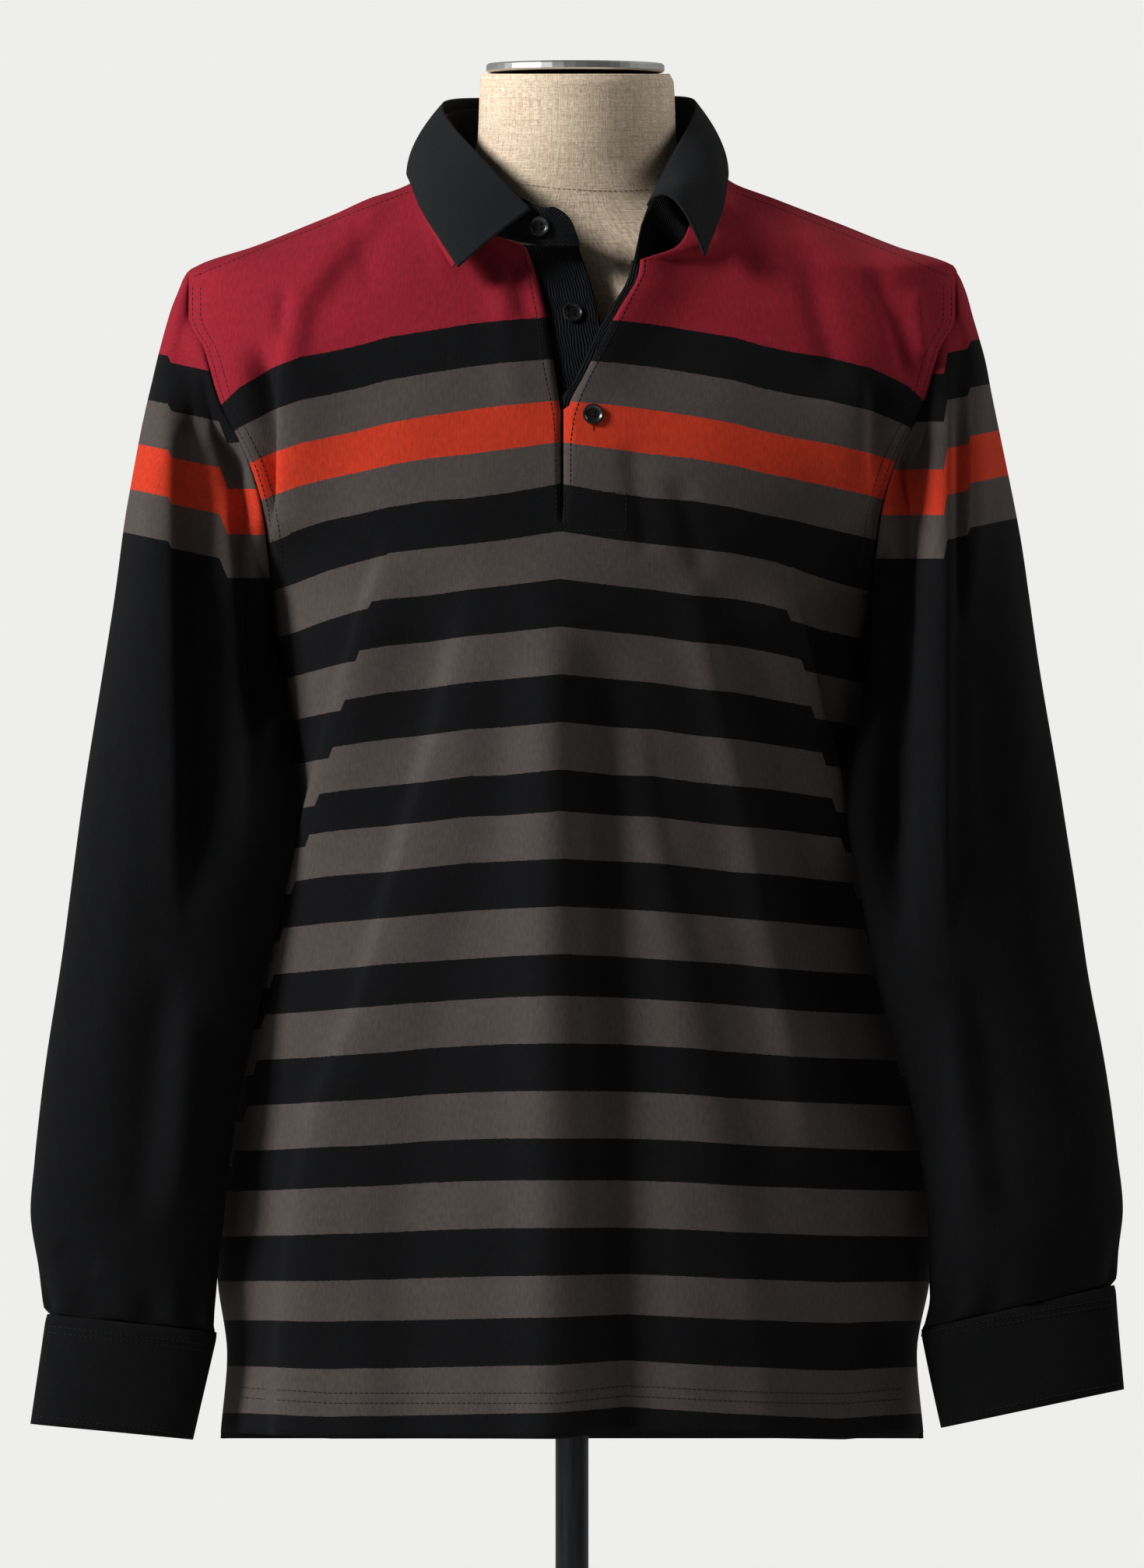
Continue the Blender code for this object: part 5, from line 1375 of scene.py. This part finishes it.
def seen_at(tree, x, z, behind=False):
    """The point and normal that the camera, or one opposite it, sees at a place in the plane of
    the pole."""
    eye = Vector((0.0, CAMERA_DISTANCE if behind else -CAMERA_DISTANCE, CAMERA_Z))
    ray = (Vector((x, 0.0, z)) - eye).normalized()
    place, normal, _, _ = tree.ray_cast(eye, ray)
    if place is None:
        return None, None
    return place, normal if normal.dot(ray) < 0 else -normal


STITCH_PITCH = 0.0031
STITCH_LENGTH = 0.0024
THREAD_RADIUS = 0.00021
# Rows of stitches, in millimetres above the hem and in metres inside the armholes.
HEM_ROWS = (21.4, 27.5)
ARMHOLE_ROWS = (0.0030, 0.0078)


def sew(rods, tree, path, lift=0.00055, behind=False, pitch=STITCH_PITCH):
    """A row of stitches along a path of (x, z) in millimetres, as the camera sees it."""
    path = np.array(path, float) / 1000
    ends = np.concatenate([[0.0], np.cumsum(np.hypot(*np.diff(path, axis=0).T))])
    for begin in np.arange(0.0, ends[-1] - STITCH_LENGTH, pitch):
        spots = []
        for at in (begin, begin + STITCH_LENGTH):
            x, z = (float(np.interp(at, ends, path[:, i])) for i in (0, 1))
            spots.append(seen_at(tree, x, z, behind))
        (start, normal), (end, other) = spots
        if start is None or end is None or (start - end).length > 2 * STITCH_LENGTH:
            continue
        rods.add(start + normal * lift, end + other * lift, normal, THREAD_RADIUS)


def hem_row(above, lift):
    return [(x, HEM_Z * 1000 + above + 1000 * float(lift(x / 1000, HEM_Z)))
            for x in range(-206, 209, 6)]


def armhole_row(side, inside):
    return [(side * 1000 * (float(armhole["front"](z)) - inside), 1000 * z)
            for z in np.linspace(1.462, 1.292, 40)]


def build_stitches():
    rods = Rods()
    panel = surface_of(front)
    for above in HEM_ROWS:
        sew(rods, panel, hem_row(above, hem_lift))
    for side in (-1, 1):
        for inside in ARMHOLE_ROWS:
            sew(rods, panel, armhole_row(side, inside))
        sew(rods, panel, [(side * 228, 1468), (side * 194, 1482), (side * 158, 1496),
                          (side * 120, 1511), (side * 98, 1519)])
    # beside the underlap, along the opening's left edge and round the end of the placket
    sew(rods, panel, [(-29, 1484), (-21.5, 1445), (-18.2, 1418), (-14, 1398), (-11.5, 1386),
                      (-10.0, 1370), (-9.8, 1318)])
    sew(rods, panel, [(44, 1482), (43.5, 1470), (34, 1452), (26, 1436), (16, 1418), (6, 1398),
                      (1.5, 1385), (-0.8, 1370), (-1.0, 1340)])
    sew(rods, panel, [(32.5, 1338), (32.5, 1315), (-4.5, 1315), (-4.5, 1338), (32, 1338)])
    sew(rods, panel, [(13.0, 1380), (13.1, 1374.5)], lift=0.0007, pitch=0.0009)
    rods.piece("stitches_front", thread, "black_knit")

    rods = Rods()
    panel = surface_of(back)
    for above in HEM_ROWS:
        sew(rods, panel, hem_row(above, lambda x, z: 0.0), behind=True)
    rods.piece("stitches_back", thread, "black_knit")

    for name, cuff, top, bottom in (
        ("right", cuff_right, ((-316, 838), (-216, 826.5)), ((-324, 777), (-234, 766))),
        ("left", cuff_left, ((326, 855), (212, 834)), ((331, 797), (226, 775))),
    ):
        rods = Rods()
        tree = surface_of(cuff)
        for edge, rows in ((top, (-3.2, -7.0)), (bottom, (3.6,))):
            for row in rows:
                path = [(x, z + row) for x, z in edge]
                for behind in (False, True):
                    sew(rods, tree, path, 0.0010, behind)
        rods.piece(f"stitches_cuff_{name}", thread, "black_knit")

    rods = Rods()
    tree = surface_of(stand)
    sew(rods, tree, [(-31, 1486.6), (-20, 1487.2), (-8, 1487.6), (3, 1487.4)], 0.0007)
    sew(rods, tree, [(-31, 1489.4), (-20, 1490.0), (-8, 1490.4), (1.5, 1490.0)], 0.0007)
    sew(rods, tree, [(-24, 1508.6), (-18, 1510), (-9, 1507.8), (-2.5, 1501.8), (2.0, 1492)],
        0.0007)
    rods.piece("stitches_stand", thread, "black_twill")

    rods = Rods()
    sew(rods, surface_of(form), [(-34, 1524.4), (-10, 1521.6), (16, 1520), (34, 1520.2),
                                 (46, 1521)], 0.0001)
    rods.piece("stitches_neck", linen_thread, "linen")


Button = namedtuple("Button", "node cloth x z facing")
BUTTON_RADIUS = 0.0063
# From the middle of the back round the rim to the dish: shares of the radius, and heights.
BUTTON_PROFILE = (
    (0.70, 0.0), (0.95, 0.0003), (1.0, 0.0010), (0.99, 0.0018), (0.93, 0.0025),
    (0.84, 0.0026), (0.74, 0.0022), (0.66, 0.0017), (0.55, 0.0015),
)
BUTTON_SIDES = 48
BUTTON_LIFT = 0.0010
HOLE_SPACING = 0.0013
HOLE_RADIUS = 0.00062
SHANK_THREAD_RADIUS = 0.00026


def build_button(button):
    """A button with a raised rim and four holes, sewn down with two bars of thread."""
    seat, _ = seen_at(surface_of(button.cloth), button.x, button.z)
    facing = Vector(button.facing).normalized()
    turned = facing.to_track_quat("Z", "Y").to_matrix().to_4x4()
    place = Matrix.Translation(seat + facing * BUTTON_LIFT) @ turned
    sides = BUTTON_SIDES
    angles = 2 * math.pi * np.arange(sides) / sides
    points, faces = [], []
    for share, height in BUTTON_PROFILE:
        radius = share * BUTTON_RADIUS
        points += [(radius * math.cos(a), radius * math.sin(a), height) for a in angles]
    rings = len(BUTTON_PROFILE)
    for ring in range(rings - 1):
        for i in range(sides):
            a, b = ring * sides + i, ring * sides + (i + 1) % sides
            faces.append((a, b, b + sides, a + sides))
    faces.append(tuple(reversed(range(sides))))
    faces.append(tuple((rings - 1) * sides + i for i in range(sides)))
    mesh = bpy.data.meshes.new(f"{button.node}_fine")
    mesh.from_pydata(points, [], faces)
    body = linked(f"{button.node}_fine", mesh)

    cutters = []
    for x in (-HOLE_SPACING, HOLE_SPACING):
        for y in (-HOLE_SPACING, HOLE_SPACING):
            bpy.ops.mesh.primitive_cylinder_add(
                vertices=16, radius=HOLE_RADIUS, depth=0.008, location=(x, y, 0.001)
            )
            cutters.append(bpy.context.object)
    cutter = join("holes", cutters)
    cut = body.modifiers.new("holes", "BOOLEAN")
    cut.object = cutter
    cut.solver = "EXACT"
    graph = bpy.context.evaluated_depsgraph_get()
    drilled = bpy.data.meshes.new_from_object(body.evaluated_get(graph))
    body.modifiers.clear()
    body.data = drilled
    bpy.data.objects.remove(cutter, do_unlink=True)
    drilled.shade_smooth()
    drilled.set_sharp_from_angle(angle=math.radians(38))
    drilled.transform(place)
    finish_piece(body, resin, "black_buttons", button.node)

    rods = Rods()
    for y in (-HOLE_SPACING, HOLE_SPACING):
        for spread in (-0.00022, 0.00022):
            start = place @ Vector((-HOLE_SPACING, y + spread, 0.0017))
            end = place @ Vector((HOLE_SPACING, y - spread, 0.0017))
            rods.add(start, end, facing, SHANK_THREAD_RADIUS)
    rods.piece(f"{button.node}_thread", thread, "black_buttons")


resin = make_button_material()
thread = make_thread("black_thread", (0.010, 0.010, 0.011))
linen_thread = make_thread("linen_thread", (0.30, 0.22, 0.14))
for button in (
    Button("button_collar", stand, -0.0195, 1.4983, (-0.10, -1.0, 0.12)),
    Button("button_upper", underlap, 0.0000, 1.4457, (0.25, -1.0, 0.45)),
    Button("button_lower", front, 0.0127, 1.3851, (0.05, -1.0, 0.12)),
):
    build_button(button)
build_stitches()


# ------------------------------------------------------------------ floor, light, camera
VIEW_GAMMA = 0.87
STUDIO_WHITE = (0.875, 0.875, 0.86, 1.0)
FLOOR_HALF = 7.0


def build_floor():
    far, z = FLOOR_HALF, -0.0005
    corners = [(-far, -far, z), (far, -far, z), (far, far, z), (-far, far, z)]
    mesh = bpy.data.meshes.new("floor")
    mesh.from_pydata(corners, [], [(0, 1, 2, 3)])
    floor = linked("floor", mesh)
    n = Nodes("floor_paint")
    material = n.surface((0.80, 0.80, 0.79, 1.0), 0.7)
    # a share of the studio's own brightness is added for the camera, but lights nothing
    glow = n.node("ShaderNodeEmission")
    glow.inputs["Color"].default_value = STUDIO_WHITE
    blend = n.node("ShaderNodeMixShader")
    share = n.math("MULTIPLY", n.node("ShaderNodeLightPath").outputs["Is Camera Ray"], 0.72)
    n.put(blend.inputs[0], share)
    n.tree.links.new(n.shader.outputs[0], blend.inputs[1])
    n.tree.links.new(glow.outputs[0], blend.inputs[2])
    n.tree.links.new(blend.outputs[0], n.tree.nodes["Material Output"].inputs["Surface"])
    mesh.materials.append(material)


def area_light(name, place, size, power, target=(0.0, 0.0, 1.2)):
    light = bpy.data.lights.new(name, "AREA")
    light.shape = "RECTANGLE"
    light.size, light.size_y = size
    light.energy = power
    obj = linked(name, light)
    obj.location = place
    obj.rotation_euler = (Vector(target) - Vector(place)).to_track_quat("-Z", "Y").to_euler()


AMBIENT_FRONT = 0.018
AMBIENT_BACK = 0.30
KEY_POWER = 368.0
FILL_POWER = 58.0
build_floor()
area_light("key", (-4.2, -1.95, 3.75), (1.3, 1.5), KEY_POWER)
area_light("fill", (3.2, 0.2, 3.5), (1.6, 1.6), FILL_POWER)


def build_world():
    """A bright studio wall behind the stand, a dark room behind the camera, and a white sky."""
    world = bpy.data.worlds.new("studio")
    bpy.context.scene.world = world
    world.use_nodes = True
    tree = world.node_tree
    background = tree.nodes["Background"]
    background.inputs["Color"].default_value = STUDIO_WHITE
    direction = tree.nodes.new("ShaderNodeTexCoord")
    parts = tree.nodes.new("ShaderNodeSeparateXYZ")
    tree.links.new(direction.outputs["Generated"], parts.inputs[0])
    wall = tree.nodes.new("ShaderNodeMapRange")
    wall.interpolation_type = "SMOOTHSTEP"
    for socket, value in zip(wall.inputs[1:5], (-0.5, 0.9, AMBIENT_FRONT, AMBIENT_BACK)):
        socket.default_value = value
    tree.links.new(parts.outputs["Y"], wall.inputs[0])
    seen = tree.nodes.new("ShaderNodeLightPath")
    pick = tree.nodes.new("ShaderNodeMix")
    tree.links.new(seen.outputs["Is Camera Ray"], pick.inputs["Factor"])
    tree.links.new(wall.outputs[0], pick.inputs[2])
    pick.inputs[3].default_value = 1.0
    tree.links.new(pick.outputs[0], background.inputs["Strength"])


build_world()

camera = bpy.data.cameras.new("camera")
camera.sensor_fit = "VERTICAL"
camera.sensor_height = SENSOR_HEIGHT
camera.lens = SENSOR_HEIGHT * CAMERA_DISTANCE / VIEW_HEIGHT
camera.clip_end = 100.0
view = linked("camera", camera)
view.location = (0.0, -CAMERA_DISTANCE, CAMERA_Z)
view.rotation_euler = (math.pi / 2, 0.0, 0.0)
bpy.context.scene.camera = view
bpy.context.scene.view_settings.view_transform = "Standard"
bpy.context.scene.view_settings.gamma = VIEW_GAMMA
